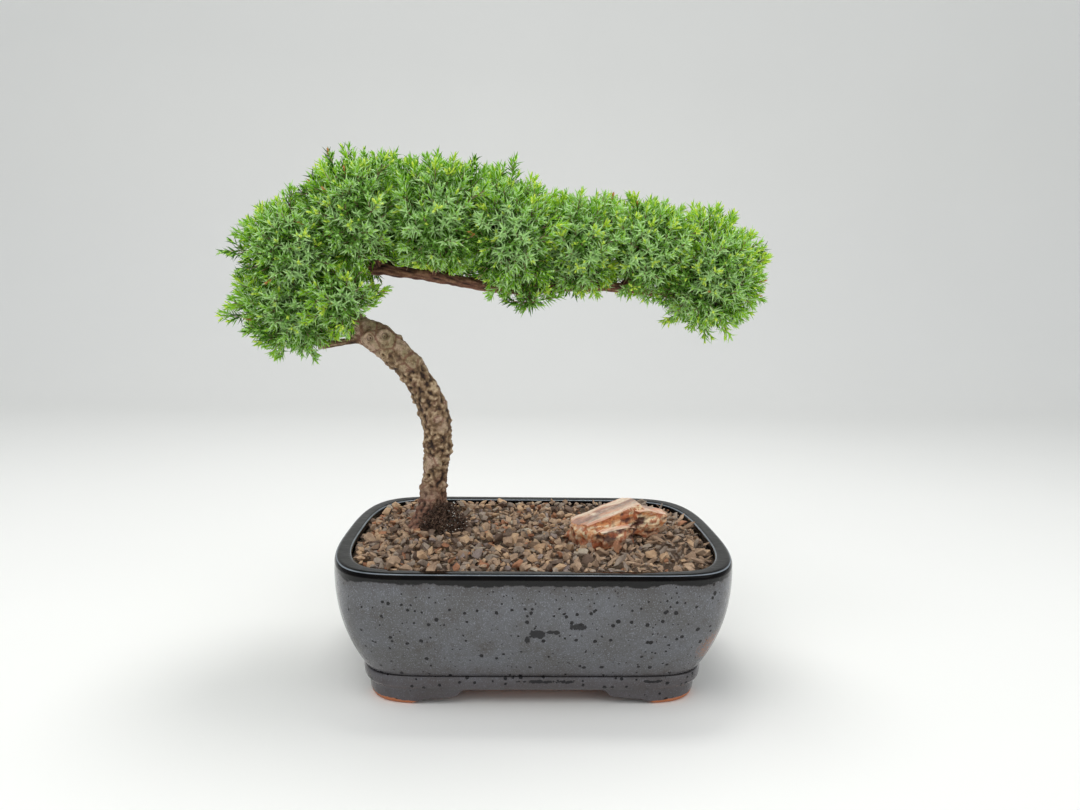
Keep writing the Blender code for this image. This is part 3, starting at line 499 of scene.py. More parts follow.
class Tree:
    """A material's nodes, with a short call for each kind that is used."""

    def __init__(self, name):
        self.material = bpy.data.materials.new(name)
        self.material.use_nodes = True
        self.nodes = self.material.node_tree.nodes
        self.links = self.material.node_tree.links
        self.shader = self.nodes["Principled BSDF"]
        self.place = self.nodes.new("ShaderNodeTexCoord").outputs["Object"]

    def put(self, socket, value):
        if isinstance(value, bpy.types.NodeSocket):
            self.links.new(value, socket)
        elif isinstance(value, tuple) and socket.type == "RGBA":
            socket.default_value = (*value, 1.0)
        else:
            socket.default_value = value

    def node(self, kind, inputs, **settings):
        made = self.nodes.new(kind)
        for key, value in settings.items():
            setattr(made, key, value)
        for key, value in inputs.items():
            self.put(made.inputs[key], value)
        return made

    def noise(self, size, detail=3.0, rough=0.5, place=None, bend=0.0):
        inputs = {"Vector": place or self.place, "Scale": 1 / size, "Detail": detail, "Roughness": rough}
        inputs["Distortion"] = bend
        return self.node("ShaderNodeTexNoise", inputs).outputs["Fac"]

    def cells(self, size, place=None, feature="F1"):
        inputs = {"Vector": place or self.place, "Scale": 1 / size}
        return self.node("ShaderNodeTexVoronoi", inputs, feature=feature)

    def math(self, operation, a, b=0.0):
        return self.node("ShaderNodeMath", {0: a, 1: b}, operation=operation).outputs[0]

    def fade(self, value, start, end, low=0.0, high=1.0):
        """From low where the value is at start, to high where it is at end, and level beyond."""
        inputs = {"Value": value, "From Min": start, "From Max": end, "To Min": low, "To Max": high}
        return self.node("ShaderNodeMapRange", inputs).outputs["Result"]

    def mix(self, share, low, high):
        return self.node("ShaderNodeMix", {0: share, 6: low, 7: high}, data_type="RGBA").outputs[2]

    def tint(self, base, code, value, start, end, most=1.0):
        """The base, and a colour over it that comes in as the value goes from start to end."""
        return self.mix(self.fade(value, start, end, 0.0, most), base, colour(code))

    def between(self, value, start, end, low, high):
        """From one colour where the value is at start, to another where it is at end."""
        return self.mix(self.fade(value, start, end), colour(low), colour(high))

    def sway(self, value, amount):
        """How far the value is from a half, times an amount."""
        return self.math("MULTIPLY", self.math("SUBTRACT", value, 0.5), amount)

    def away(self, values, middle, reach):
        """The square of how far the values are from a middle, in reaches."""
        found = 0.0
        for value, centre, size in zip(values, middle, reach):
            part = self.math("DIVIDE", self.math("SUBTRACT", value, centre), size)
            found = self.math("ADD", found, self.math("MULTIPLY", part, part))
        return found

    def split(self, value):
        return self.node("ShaderNodeSeparateXYZ", {0: value}).outputs

    def measured(self, scale, turn=0.0, start=(0.0, 0.0, 0.0)):
        """The place measured from a start, along axes turned about Z, in steps of the scale's lengths."""
        inputs = {"Vector": self.place, "Location": start, "Rotation": (0.0, 0.0, turn), "Scale": scale}
        return self.node("ShaderNodeMapping", inputs, vector_type="TEXTURE").outputs["Vector"]

    def attribute(self, name):
        return self.node("ShaderNodeAttribute", {}, attribute_name=name).outputs["Fac"]

    def bump(self, height, distance, strength=1.0):
        inputs = {"Height": height, "Distance": distance, "Strength": strength}
        return self.node("ShaderNodeBump", inputs).outputs["Normal"]

    def finish(self, **sockets):
        names = {"colour": "Base Color", "roughness": "Roughness", "normal": "Normal"}
        for key, value in sockets.items():
            self.put(self.shader.inputs[names.get(key, key)], value)
        return self.material


def glaze_material():
    """Grey glaze with black pits and smears, black on the rim, and bare clay under the feet."""
    tree = Tree("glaze")
    x, y, z = tree.split(tree.place)
    drift = tree.noise(24 * MM, 3)
    ragged = tree.noise(3.4 * MM, 4, 0.65)
    body = tree.between(drift, 0.36, 0.64, "67686c", "5b5a5a")
    body = tree.tint(body, "4a423c", tree.noise(9 * MM, 4, 0.6), 0.54, 0.72, 0.5)
    body = tree.tint(body, "4f4d4b", tree.noise(2.2 * MM, 4), 0.35, 0.75, 0.4)
    body = tree.tint(body, "8f939c", tree.noise(0.7 * MM, 1), 0.56, 0.74, 0.6)
    # The glaze darkens from 30 mm down to 14 mm: painted shade low on the body and on the plinth
    body = tree.tint(body, "4a4243", z, 30 * MM, 14 * MM, 0.6)

    black = tree.math("MULTIPLY", smear(tree, x, y, z, ragged), 0.92)
    black = tree.math("MAXIMUM", pits(tree, x, z), black)
    body = tree.mix(black, body, colour("131215"))
    band_edge = tree.math("ADD", z, tree.sway(ragged, 3.4 * MM))
    band_edge = tree.math("ADD", band_edge, tree.sway(drift, 7 * MM))
    band_start = POT_HEIGHT - RIM_BAND
    body = tree.tint(body, "352c28", band_edge, band_start - 6 * MM, band_start, 0.35)
    band = tree.fade(band_edge, band_start - 0.5 * MM, band_start + 0.2 * MM)
    body = tree.mix(band, body, colour("040304"))
    # A dark line along the crease between the body and the plinth: painted shade in the crease
    from_crease = tree.math("ABSOLUTE", tree.math("SUBTRACT", z, BODY_BOTTOM - 0.5 * MM))
    body = tree.tint(body, "1a1819", from_crease, 0.8 * MM, 0.2 * MM, 0.8)
    body = tree.mix(worn_patch(tree, x, y, z), body, colour("96613f"))

    edge = tree.fade(tree.math("ABSOLUTE", x), 58 * MM, 82 * MM, *CLAY_EDGE)
    over_edge = tree.math("SUBTRACT", tree.math("ADD", z, tree.sway(ragged, 2.2 * MM)), edge)
    clay = tree.fade(over_edge, 0.25 * MM, -0.15 * MM)
    below = tree.fade(z, FLOOR_UNDERSIDE + 0.6 * MM, FLOOR_UNDERSIDE)
    clay = tree.math("MAXIMUM", clay, tree.math("MULTIPLY", below, in_foot_ring(tree, x, y)))
    grain = tree.mix(tree.noise(1.4 * MM, 3), colour("a9633f"), colour("c68059"))
    body = tree.mix(clay, body, grain)

    sheen = tree.fade(drift, 0.3, 0.7, 0.15, 0.24)
    sheen = tree.math("MULTIPLY", sheen, tree.fade(band, 0.0, 1.0, 1.0, 0.3))
    sheen = tree.math("MAXIMUM", sheen, tree.fade(clay, 0.0, 1.0, 0.0, 0.8))
    waves = tree.math("MULTIPLY", tree.noise(6 * MM, 2), 0.8)
    relief = tree.math("ADD", tree.math("MULTIPLY", black, -0.5), waves)
    level = {"Specular IOR Level": GLAZE_SPECULAR}
    return tree.finish(colour=body, roughness=sheen, normal=tree.bump(relief, 0.2 * MM), **level)


def rim_material():
    """The black, glossy glaze of the rim, with a thin pale line along its edges: a painted highlight, partly
    the glaze thinning there.
    """
    tree = Tree("glaze_rim")
    drift = tree.noise(12 * MM, 3)
    body = tree.between(drift, 0.40, 0.65, "030203", "0c0806")
    steep = tree.split(tree.node("ShaderNodeNewGeometry", {}).outputs["Normal"])[2]
    off_edge = tree.math("ABSOLUTE", tree.math("SUBTRACT", steep, EDGE_STEEPNESS))
    # The thin pale line along the rim's edges is a painted highlight, partly the glaze thinning over the edge
    pale_edge_highlight = tree.math("MULTIPLY", tree.fade(off_edge, 0.13, 0.05), tree.fade(drift, 0.2, 0.6, 0.5, 0.95))
    body = tree.mix(pale_edge_highlight, body, colour("8b9299"))
    sheen = tree.fade(drift, 0.3, 0.7, 0.05, 0.09)
    bump = tree.bump(tree.noise(7 * MM, 2), 0.15 * MM)
    return tree.finish(colour=body, roughness=sheen, normal=bump, **{"Specular IOR Level": RIM_SPECULAR})


def pits(tree, x, z):
    """Black pits of about 0.5 to 2.5 mm, closer together to the right and higher up."""
    bent = tree.node("ShaderNodeTexNoise", {"Vector": tree.place, "Scale": 1 / (1.6 * MM)}).outputs["Color"]
    inputs = {0: bent, 1: (PIT_BEND, PIT_BEND, PIT_BEND), 2: tree.place}
    place = tree.node("ShaderNodeVectorMath", inputs, operation="MULTIPLY_ADD").outputs[0]
    to_right = tree.fade(x, -80 * MM, 60 * MM, -0.10, 0.10)
    to_top = tree.fade(z, 20 * MM, 70 * MM, -0.06, 0.06)
    patches = tree.fade(tree.noise(30 * MM, 2), 0.35, 0.65, -0.12, 0.12)
    crowd = tree.math("ADD", tree.math("ADD", to_right, to_top), patches)
    found = 0.0
    for size, share, smallest, largest in PITS:
        cell = tree.cells(size, place)
        chance, width, _ = tree.split(cell.outputs["Color"])
        here = tree.math("LESS_THAN", chance, tree.math("ADD", crowd, share))
        reach = tree.fade(tree.math("POWER", width, 2.5), 0.0, 1.0, smallest, largest)
        inside = tree.fade(tree.math("SUBTRACT", reach, cell.outputs["Distance"]), 0.0, 0.03)
        found = tree.math("MAXIMUM", found, tree.math("MULTIPLY", inside, here))
    return found


def smear(tree, x, y, z, ragged):
    """Dark smears near the middle of the front and the back, and streaks in the groove over the feet."""
    found = 0.0
    for centre_x, centre_z, half_x, half_z, side in SMEARS:
        off = tree.away((x, z), (centre_x * MM, centre_z * MM), (half_x * MM, half_z * MM))
        here = tree.fade(tree.math("ADD", off, tree.sway(ragged, 4.5)), 1.0, 0.75)
        on_side = tree.math("GREATER_THAN", tree.math("MULTIPLY", y, side), 0.0)
        found = tree.math("MAXIMUM", found, tree.math("MULTIPLY", here, on_side))
    return found


def worn_patch(tree, x, y, z):
    """Orange-brown specks where the glaze is thin, at the right front corner."""
    near = tree.fade(tree.away((x, y, z), WORN_CENTRE, WORN_REACH), 1.0, 0.25)
    specks = tree.fade(tree.noise(1.3 * MM, 4, 0.7), 0.47, 0.55)
    return tree.math("MULTIPLY", tree.math("MULTIPLY", near, specks), 0.8)


def in_foot_ring(tree, x, y):
    """1 inside the ring of the feet, where the pot's floor is bare clay."""
    across = tree.math("DIVIDE", tree.math("ABSOLUTE", x), POT_WIDTH / 2 - RING_INSET)
    along = tree.math("DIVIDE", tree.math("ABSOLUTE", y), POT_DEPTH / 2 - RING_INSET)
    across = tree.math("POWER", across, LONG_SIDE_POWER)
    along = tree.math("POWER", along, BASE_SIDE_POWER)
    return tree.math("LESS_THAN", tree.math("ADD", across, along), 1.0)


def soil_material():
    """Dark damp potting soil."""
    tree = Tree("soil")
    grain = tree.noise(1.6 * MM, 5, 0.65)
    dark = tree.between(grain, 0.35, 0.7, "4a3a2e", "7d6652")
    bits = tree.math("LESS_THAN", tree.cells(2.4 * MM).outputs["Distance"], 0.12)
    dark = tree.mix(tree.math("MULTIPLY", bits, 0.6), dark, colour("cfc8b8"))
    rough = tree.fade(grain, 0.3, 0.7, 0.75, 0.95)
    return tree.finish(colour=dark, roughness=rough, normal=tree.bump(grain, 0.8 * MM))


def chip_material(name, low, high):
    """Rough stone, between two colours, with a grain."""
    tree = Tree(name)
    grain = tree.noise(0.8 * MM, 3, 0.6)
    base = tree.between(tree.noise(6 * MM, 2), 0.35, 0.65, low, high)
    base = tree.tint(base, "46392f", grain, 0.45, 0.8, 0.4)
    rough = tree.fade(grain, 0.3, 0.7, 0.78, 0.95)
    return tree.finish(colour=base, roughness=rough, normal=tree.bump(grain, 0.25 * MM))


def stone_material():
    """Petrified wood: cream and pink bands round a grey-purple core, and rust where it is broken."""
    tree = Tree("petrified_wood")
    base_place = (*STONE_CENTRE.xy, SOIL_LEVEL)
    _, across, up = tree.split(tree.measured((1.0, 1.0, 1.0), STONE_TURN, base_place))
    band = tree.noise(4.2 * MM, 4, 0.55, tree.measured((5.0, 1.0, 1.0), STONE_TURN), 0.5)
    fine = tree.noise(1.0 * MM, 4, 0.6, tree.measured((3.5, 1.0, 1.0), STONE_TURN))
    rust = tree.noise(4.5 * MM, 4, 0.6)
    relief = tree.attribute("relief")
    off_core = tree.math("ADD", tree.math("SUBTRACT", across, -1.0 * MM), tree.sway(band, 16 * MM))
    near_core = tree.fade(tree.math("ABSOLUTE", off_core), 5.2 * MM, 1.0 * MM)
    core = tree.math("MULTIPLY", near_core, tree.fade(rust, 0.35, 0.65, 0.45, 0.9))
    top = tree.between(band, 0.40, 0.60, "e6ac90", "f9e4cc")
    top = tree.mix(core, top, colour("8a7673"))
    top = tree.tint(top, "b98363", fine, 0.48, 0.74, 0.55)
    broken = tree.between(band, 0.40, 0.58, "d48c55", "fbe4ba")
    broken = tree.tint(broken, "b25f38", rust, 0.48, 0.58, 0.9)
    broken = tree.tint(broken, "9f5535", tree.math("ADD", up, tree.sway(rust, 12 * MM)), 8 * MM, 2 * MM, 0.7)
    broken = tree.tint(broken, "8a5340", fine, 0.52, 0.75, 0.5)
    base = tree.mix(tree.fade(tree.attribute("broken"), 0.35, 0.75), top, broken)
    # Darker in the hollows and paler on the ridges, following the relief: painted shade and a painted highlight
    base = tree.tint(base, "4c2c28", relief, -0.25, -0.85, 0.9)
    base = tree.tint(base, "f6e7cd", relief, 0.3, 0.8, 0.6)
    rough = tree.fade(fine, 0.3, 0.7, 0.5, 0.75)
    return tree.finish(colour=base, roughness=rough, normal=tree.bump(fine, 0.35 * MM))


def bark_material(name, pale, middle, dark, foot):
    """Bark with dark pits, pale knobs and smooth olive patches between them, redder towards the foot; the dark
    in the pits is painted shade and the pale on the knobs a painted highlight.
    """
    tree = Tree(name)
    relief = tree.attribute("relief")
    _, _, z = tree.split(tree.place)
    drift = tree.noise(9 * MM, 3)
    grain = tree.noise(0.8 * MM, 4, 0.6)
    # Paler where the relief stands out: a painted highlight on the knobs and spurs
    base = tree.between(relief, -0.15, 0.55, middle, pale)
    smooth = tree.between(drift, 0.40, 0.60, "aa9a76", "cdb098")
    seam = tree.cells(SEAM_SIZE, feature="DISTANCE_TO_EDGE").outputs["Distance"]
    smooth = tree.tint(smooth, "7d4a3c", seam, 0.07, 0.02, 0.8)
    base = tree.mix(tree.fade(tree.attribute("scarred"), 0.60, 0.1, 0.0, 0.85), base, smooth)
    base = tree.tint(base, middle, tree.noise(2.6 * MM, 3, 0.6), 0.50, 0.64, 0.75)
    base = tree.tint(base, "6d4a38", tree.noise(4 * MM, 3), 0.54, 0.64, 0.7)
    height = tree.math("ADD", z, tree.math("MULTIPLY", drift, 40 * MM))
    base = tree.tint(base, foot, height, 140 * MM, 112 * MM, 0.8)
    base = tree.tint(base, dark, grain, 0.48, 0.75, 0.5)
    # Darker where the relief sinks: painted shade in the pits, scars and eye knots
    base = tree.tint(base, dark, relief, -0.10, -0.75, 0.95)
    rough = tree.fade(grain, 0.3, 0.7, 0.68, 0.92)
    return tree.finish(colour=base, roughness=rough, normal=tree.bump(grain, 0.35 * MM))


def needle_material(name, code, roughness):
    """Plain leaf colour, so that it stays where it falls however the piece is unwrapped."""
    tree = Tree(name)
    tree.nodes.remove(tree.place.node)
    level = {"Specular IOR Level": NEEDLE_SPECULAR}
    return tree.finish(colour=colour(code), roughness=roughness, **level)


def add_to_scene(thing):
    bpy.context.scene.collection.objects.link(thing)
    return thing


def mesh_of(shape, name):
    """The mesh of an edited shape, which is freed."""
    mesh = bpy.data.meshes.new(name)
    shape.to_mesh(mesh)
    shape.free()
    return mesh


def clamped(value):
    return max(0.0, min(1.0, value))


def hill(away):
    """1 at its middle, and close to 0 two reaches away."""
    return math.exp(-(away**2))


def mesh_from_arrays(name, points, faces, kinds=None, smooth=False):
    """A mesh from arrays of points and of faces that all have the same number of corners."""
    mesh = bpy.data.meshes.new(name)
    count, sides = faces.shape
    mesh.vertices.add(len(points))
    mesh.vertices.foreach_set("co", np.ascontiguousarray(points, np.float32).ravel())
    mesh.loops.add(faces.size)
    mesh.loops.foreach_set("vertex_index", np.ascontiguousarray(faces, np.int32).ravel())
    mesh.polygons.add(count)
    mesh.polygons.foreach_set("loop_start", np.arange(0, faces.size, sides, dtype=np.int32))
    if kinds is not None:
        mesh.polygons.foreach_set("material_index", np.ascontiguousarray(kinds, np.int32))
    mesh.polygons.foreach_set("use_smooth", np.full(count, smooth))
    mesh.update(calc_edges=True)
    return mesh


def add_piece(name, mesh, materials, replaced=()):
    """Makes an object of the mesh, at the pot's place, that rides on the one body."""
    piece = add_to_scene(bpy.data.objects.new(name, mesh))
    piece.location = POT_PLACE
    for material in materials:
        mesh.materials.append(material)
    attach(piece, "root")
    if replaced:
        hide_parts(*replaced)
    return piece


def store_attribute(mesh, name, values):
    layer = mesh.attributes.new(name, "FLOAT", "POINT")
    layer.data.foreach_set("value", np.ascontiguousarray(values, np.float32))


def smooth_line(points, steps):
    """Points on a Catmull-Rom curve through the given points, with the place of each in list steps."""
    padded = [2 * points[0] - points[1], *points, 2 * points[-1] - points[-2]]
    line = []
    for i in range(len(points) - 1):
        a, b, c, d = padded[i : i + 4]
        for k in range(steps):
            t = k / steps
            point = 0.5 * (
                2 * b + (c - a) * t + (2 * a - 5 * b + 4 * c - d) * t**2 + (3 * b - a - 3 * c + d) * t**3
            )
            line.append((point, i + t))
    line.append((points[-1].copy(), float(len(points) - 1)))
    return line


def plan_outline(half_width, half_depth, side_power, count):
    """A rectangle with bowed short sides and round corners, with its points closer in the corners."""
    turn = np.linspace(0, 2 * np.pi, 2881)
    c, s = np.cos(turn), np.sin(turn)
    dense = np.stack(
        [
            np.sign(c) * np.abs(c) ** (2 / LONG_SIDE_POWER) * half_width,
            np.sign(s) * np.abs(s) ** (2 / side_power) * half_depth,
        ],
        axis=1,
    )
    step = np.diff(dense, axis=0)
    length = np.linalg.norm(step, axis=1)
    heading = np.unwrap(np.arctan2(step[:, 1], step[:, 0]))
    bend = np.abs(np.diff(heading, prepend=heading[0]))
    passed = np.concatenate([[0], np.cumsum(length + CORNER_WEIGHT * bend)])
    wanted = np.linspace(0, passed[-1], count, endpoint=False)
    return np.stack([np.interp(wanted, passed, dense[:, 0]), np.interp(wanted, passed, dense[:, 1])], axis=1)


def body_share(height):
    return max(0.0, min(1.0, (height - BODY_BOTTOM) / (POT_HEIGHT - BODY_BOTTOM)))


def body_inset(height):
    return BODY_TAPER * (1 - body_share(height)) ** BODY_CURVE


def pot_ring(inset, height, count=PLAN_POINTS):
    side_power = BASE_SIDE_POWER + (RIM_SIDE_POWER - BASE_SIDE_POWER) * body_share(height)
    outline = plan_outline(POT_WIDTH / 2 - inset, POT_DEPTH / 2 - inset, side_power, count)
    return np.column_stack([outline, np.full(count, height)])


def inner_inset(height):
    """The inset of the pot's inner wall, which turns in to meet the floor."""
    corner = max(0.0, 1 - (height - FLOOR_TOP) / (4 * MM))
    return body_inset(max(height, BODY_BOTTOM)) + WALL + 3.5 * MM * corner**2


def pot_profile():
    """Insets and heights round the pot's section, each with how far its corner is rounded."""
    outside = [
        (FOOT_INSET + 10 * MM, FLOOR_UNDERSIDE, 0),
        (FOOT_INSET + 10.5 * MM, 0.6 * MM, 0.4 * MM),
        (FOOT_INSET + 9.8 * MM, 0, 0.3 * MM),
        (FOOT_INSET + 2.2 * MM, 0, 0.8 * MM),
        (FOOT_INSET + 0.9 * MM, 1.8 * MM, 1.2 * MM),
        (FOOT_INSET, FOOT_HEIGHT - 1 * MM, 0.8 * MM),
        (PLINTH_INSET + 2 * MM, FOOT_HEIGHT, 0.8 * MM),
        (PLINTH_INSET + 0.3 * MM, FOOT_HEIGHT + 2 * MM, 1.0 * MM),
        (PLINTH_INSET, BODY_BOTTOM - 2.6 * MM, 0.9 * MM),
        (PLINTH_INSET + 0.6 * MM, BODY_BOTTOM - 1 * MM, 0.5 * MM),
        (BODY_TAPER + 0.9 * MM, BODY_BOTTOM - 0.6 * MM, 0.2 * MM),
    ]
    body = []
    for k in range(22):
        height = BODY_BOTTOM + (POT_HEIGHT - 4 * MM - BODY_BOTTOM) * k / 21
        body.append((body_inset(height), height, 0))
    rim = [
        (0, POT_HEIGHT - 2.6 * MM, 1.0 * MM),
        (0.5 * MM, POT_HEIGHT - 0.8 * MM, 0.8 * MM),
        (2 * MM, POT_HEIGHT, 0.8 * MM),
        (RIM_WIDTH - 1.6 * MM, POT_HEIGHT - 0.3 * MM, 1.2 * MM),
        (RIM_WIDTH, POT_HEIGHT - 1.8 * MM, 1.2 * MM),
    ]
    inside = []
    for share in (1, 0.8, 0.55, 0.25, 0.12, 0.05, 0):
        height = FLOOR_TOP + (SOIL_LEVEL - 2 * MM - FLOOR_TOP) * share
        inside.append((inner_inset(height), height, 0))
    return outside + body + rim + inside


def rounded(profile, steps=4):
    """The profile with its corners cut by short curves."""
    line = []
    for i, (inset, height, reach) in enumerate(profile):
        here = Vector((inset, height))
        if not reach:
            line.append(here)
            continue
        before = Vector(profile[i - 1][:2]) - here
        after = Vector(profile[i + 1][:2]) - here
        first = here + before.normalized() * min(reach, before.length * 0.45)
        last = here + after.normalized() * min(reach, after.length * 0.45)
        for k in range(steps + 1):
            t = k / steps
            line.append(first * (1 - t) ** 2 + here * 2 * t * (1 - t) + last * t**2)
    return line


def loft_arrays(rings):
    """Points, and quads between rings that have equally many points."""
    points = np.concatenate(rings)
    count = len(rings[0])
    i = np.arange(count)
    j = (i + 1) % count
    band = np.stack([i, j, j + count, i + count], axis=1)
    return points, np.concatenate([band + k * count for k in range(len(rings) - 1)])


def closed_loft(name, rings):
    """A closed mesh through the rings, with a face over the first and the last."""
    points, quads = loft_arrays(rings)
    mesh = mesh_from_arrays(name, points, quads)
    shape = bmesh.new()
    shape.from_mesh(mesh)
    shape.verts.ensure_lookup_table()
    count = len(rings[0])
    shape.faces.new(shape.verts[:count])
    shape.faces.new(shape.verts[-count:])
    bmesh.ops.recalc_face_normals(shape, faces=shape.faces)
    shape.to_mesh(mesh)
    shape.free()
    return mesh


def arch_outline(half):
    """The gap between two feet: high in the middle, with an S at each end and a low step over a toe."""
    top = FOOT_HEIGHT / MM - 0.6
    points = [
        (half, top),
        (half + 2, top - 0.8),
        (half + 4.3, top - 2.8),
        (half + 7, 5.2),
        (half + 22, 3.7),
        (half + 27, 2.2),
        (half + 31, 0.5),
        (half + 32, -1.0),
    ]
    curve = [point for point, _ in smooth_line([Vector((a * MM, 0, u * MM)) for a, u in points], 5)]
    return curve + [Vector((-p.x, 0, p.z)) for p in reversed(curve)]


def prism(name, outline, half_length, turn):
    """A closed solid: the outline drawn out both ways along Y, turned about Z."""
    shape = bmesh.new()
    spin = Matrix.Rotation(turn, 4, "Z")
    ends = []
    for side in (-1, 1):
        shift = Vector((0, side * half_length, 0))
        ends.append([shape.verts.new(spin @ (point + shift)) for point in outline])
    count = len(outline)
    for i in range(count):
        j = (i + 1) % count
        shape.faces.new((ends[0][i], ends[0][j], ends[1][j], ends[1][i]))
    shape.faces.new(ends[0])
    shape.faces.new(ends[1])
    bmesh.ops.recalc_face_normals(shape, faces=shape.faces)
    return mesh_of(shape, name)


def boolean_mesh(mesh, others, operation, solver="EXACT"):
    """The mesh after the others are joined to it or cut from it."""
    base = add_to_scene(bpy.data.objects.new("base", mesh))
    helpers = bpy.data.collections.new("cutters")
    bpy.context.scene.collection.children.link(helpers)
    for other in others:
        helpers.objects.link(bpy.data.objects.new("cutter", other))
    modifier = base.modifiers.new("cut", "BOOLEAN")
    modifier.operation = operation
    modifier.operand_type = "COLLECTION"
    modifier.collection = helpers
    modifier.solver = solver
    bpy.context.view_layer.update()
    graph = bpy.context.evaluated_depsgraph_get()
    made = bpy.data.meshes.new_from_object(base.evaluated_get(graph))
    for obj in [base, *helpers.objects]:
        bpy.data.objects.remove(obj)
    bpy.data.collections.remove(helpers)
    return made


def drill(x):
    """A round cutter through the pot's floor."""
    shape = bmesh.new()
    place = Matrix.Translation((x, 0, 0))
    size = {"radius1": DRAIN_RADIUS, "radius2": DRAIN_RADIUS, "depth": 4 * FLOOR_TOP}
    bmesh.ops.create_cone(shape, cap_ends=True, segments=DRAIN_SIDES, matrix=place, **size)
    return mesh_of(shape, "drill")


def build_pot():
    """The pot: lofted, with arches cut between its feet and two drain holes, and with a black rim."""
    rings = [pot_ring(point.x, point.y) for point in rounded(pot_profile())]
    mesh = closed_loft("pot_glazed", rings)
    cutters = [
        prism("front_arch", arch_outline(FRONT_ARCH_HALF), POT_DEPTH, 0),
        prism("side_arch", arch_outline(SIDE_ARCH_HALF), POT_WIDTH, math.radians(90)),
        drill(-DRAIN_OFFSET),
        drill(DRAIN_OFFSET),
    ]
    made = boolean_mesh(mesh, cutters, "DIFFERENCE")
    made.shade_smooth()
    made.set_sharp_from_angle(angle=POT_SHARP)
    made.materials.clear()
    for face in made.polygons:
        face.material_index = int(face.center.z > POT_HEIGHT - RIM_FACES)
    add_piece("pot_glazed", made, [glaze_material(), rim_material()], ["pot"])


def build_bed():
    """The soil under the gravel: it fills the pot, with an uneven top."""
    shares = (0, 0.07, 0.25, 0.55, 0.9)
    heights = [FLOOR_TOP + SOIL_GAP + (BED_LEVEL - FLOOR_TOP) * share for share in shares]
    rings = [pot_ring(inner_inset(height) + SOIL_GAP, height, BED_POINTS) for height in heights]
    edge = inner_inset(BED_LEVEL) + 0.5 * MM
    for k in range(BED_RINGS):
        ring = pot_ring(edge + k * BED_STEP, BED_LEVEL, BED_POINTS)
        for point in ring:
            point[2] += bed_bump(point[0], point[1])
        rings.append(ring)
    mesh = closed_loft("soil_bed", rings)
    mesh.shade_smooth()
    add_piece("soil_bed", mesh, [soil_material()], ["soil"])


def bed_bump(x, y):
    """How far the bed stands over its level: lumpy, and heaped a little round the trunk's foot."""
    near = math.exp(-((x - MOUND_CENTRE.x) ** 2 + (y - MOUND_CENTRE.y) ** 2) / MOUND_REACH**2)
    return BED_LUMP * noise.noise(Vector((x, y, 0)) / BED_LUMP_SIZE) + MOUND_HEIGHT * near


def chip_shapes(rng):
    """Angular chips, each the hull of a few points in a box one unit long."""
    shapes = []
    for _ in range(CHIP_SHAPES):
        box = np.array([1.0, rng.uniform(0.55, 0.9), rng.uniform(0.35, 0.7)])
        shape = bmesh.new()
        for _ in range(CHIP_CORNERS):
            point = rng.normal(size=3)
            point = point / np.linalg.norm(point) * rng.uniform(0.8, 1.0)
            shape.verts.new(point * box / 2)
        bmesh.ops.convex_hull(shape, input=shape.verts)
        loose = [vert for vert in shape.verts if not vert.link_faces]
        bmesh.ops.delete(shape, geom=loose, context="VERTS")
        bmesh.ops.triangulate(shape, faces=shape.faces)
        bmesh.ops.recalc_face_normals(shape, faces=shape.faces)
        shape.verts.index_update()
        points = np.array([vert.co for vert in shape.verts])
        faces = np.array([[vert.index for vert in face.verts] for face in shape.faces])
        shapes.append((points, faces))
        shape.free()
    return shapes


def turn_matrix(spin, tip, roll):
    spins = Matrix.Rotation(spin, 3, "Z") @ Matrix.Rotation(tip, 3, "Y") @ Matrix.Rotation(roll, 3, "X")
    return np.array(spins)


class Heap:
    """The height of what already lies in the pot, on a fine grid, so that each chip lies on the others."""

    CELL = 0.6 * MM

    def __init__(self):
        self.half = np.array([POT_WIDTH / 2, POT_DEPTH / 2])
        size = np.ceil(2 * self.half / self.CELL).astype(int) + 1
        x = np.arange(size[0]) * self.CELL - self.half[0]
        y = np.arange(size[1]) * self.CELL - self.half[1]
        away = (x[:, None] - MOUND_CENTRE.x) ** 2 + (y[None, :] - MOUND_CENTRE.y) ** 2
        self.top = BED_LEVEL + MOUND_HEIGHT * np.exp(-away / MOUND_REACH**2)

    def window(self, x, y, reach):
        i, j = int((x + self.half[0]) / self.CELL), int((y + self.half[1]) / self.CELL)
        r = max(1, int(reach / self.CELL))
        return slice(max(i - r, 0), i + r + 1), slice(max(j - r, 0), j + r + 1)

    def drop(self, points, x, y, reach, sink):
        """Lays the turned points of a chip at x, y on the heap, and raises the heap under it."""
        spot = self.window(x, y, reach * 0.6)
        ground = self.top[spot].mean() * 0.5 + self.top[spot].max() * 0.5
        low, high = points[:, 2].min(), points[:, 2].max()
        z = ground - low - sink * (high - low)
        inner = self.window(x, y, reach * 0.75)
        self.top[inner] = np.maximum(self.top[inner], z + high * 0.75)
        return points + np.array([x, y, z])


def rim_room(x, y, reach):
    """Whether a chip of that reach stays inside the rim."""
    half_x = POT_WIDTH / 2 - inner_inset(SOIL_LEVEL) - reach - 0.4 * MM
    half_y = POT_DEPTH / 2 - inner_inset(SOIL_LEVEL) - reach - 0.4 * MM
    return (abs(x) / half_x) ** LONG_SIDE_POWER + (abs(y) / half_y) ** RIM_SIDE_POWER < 1


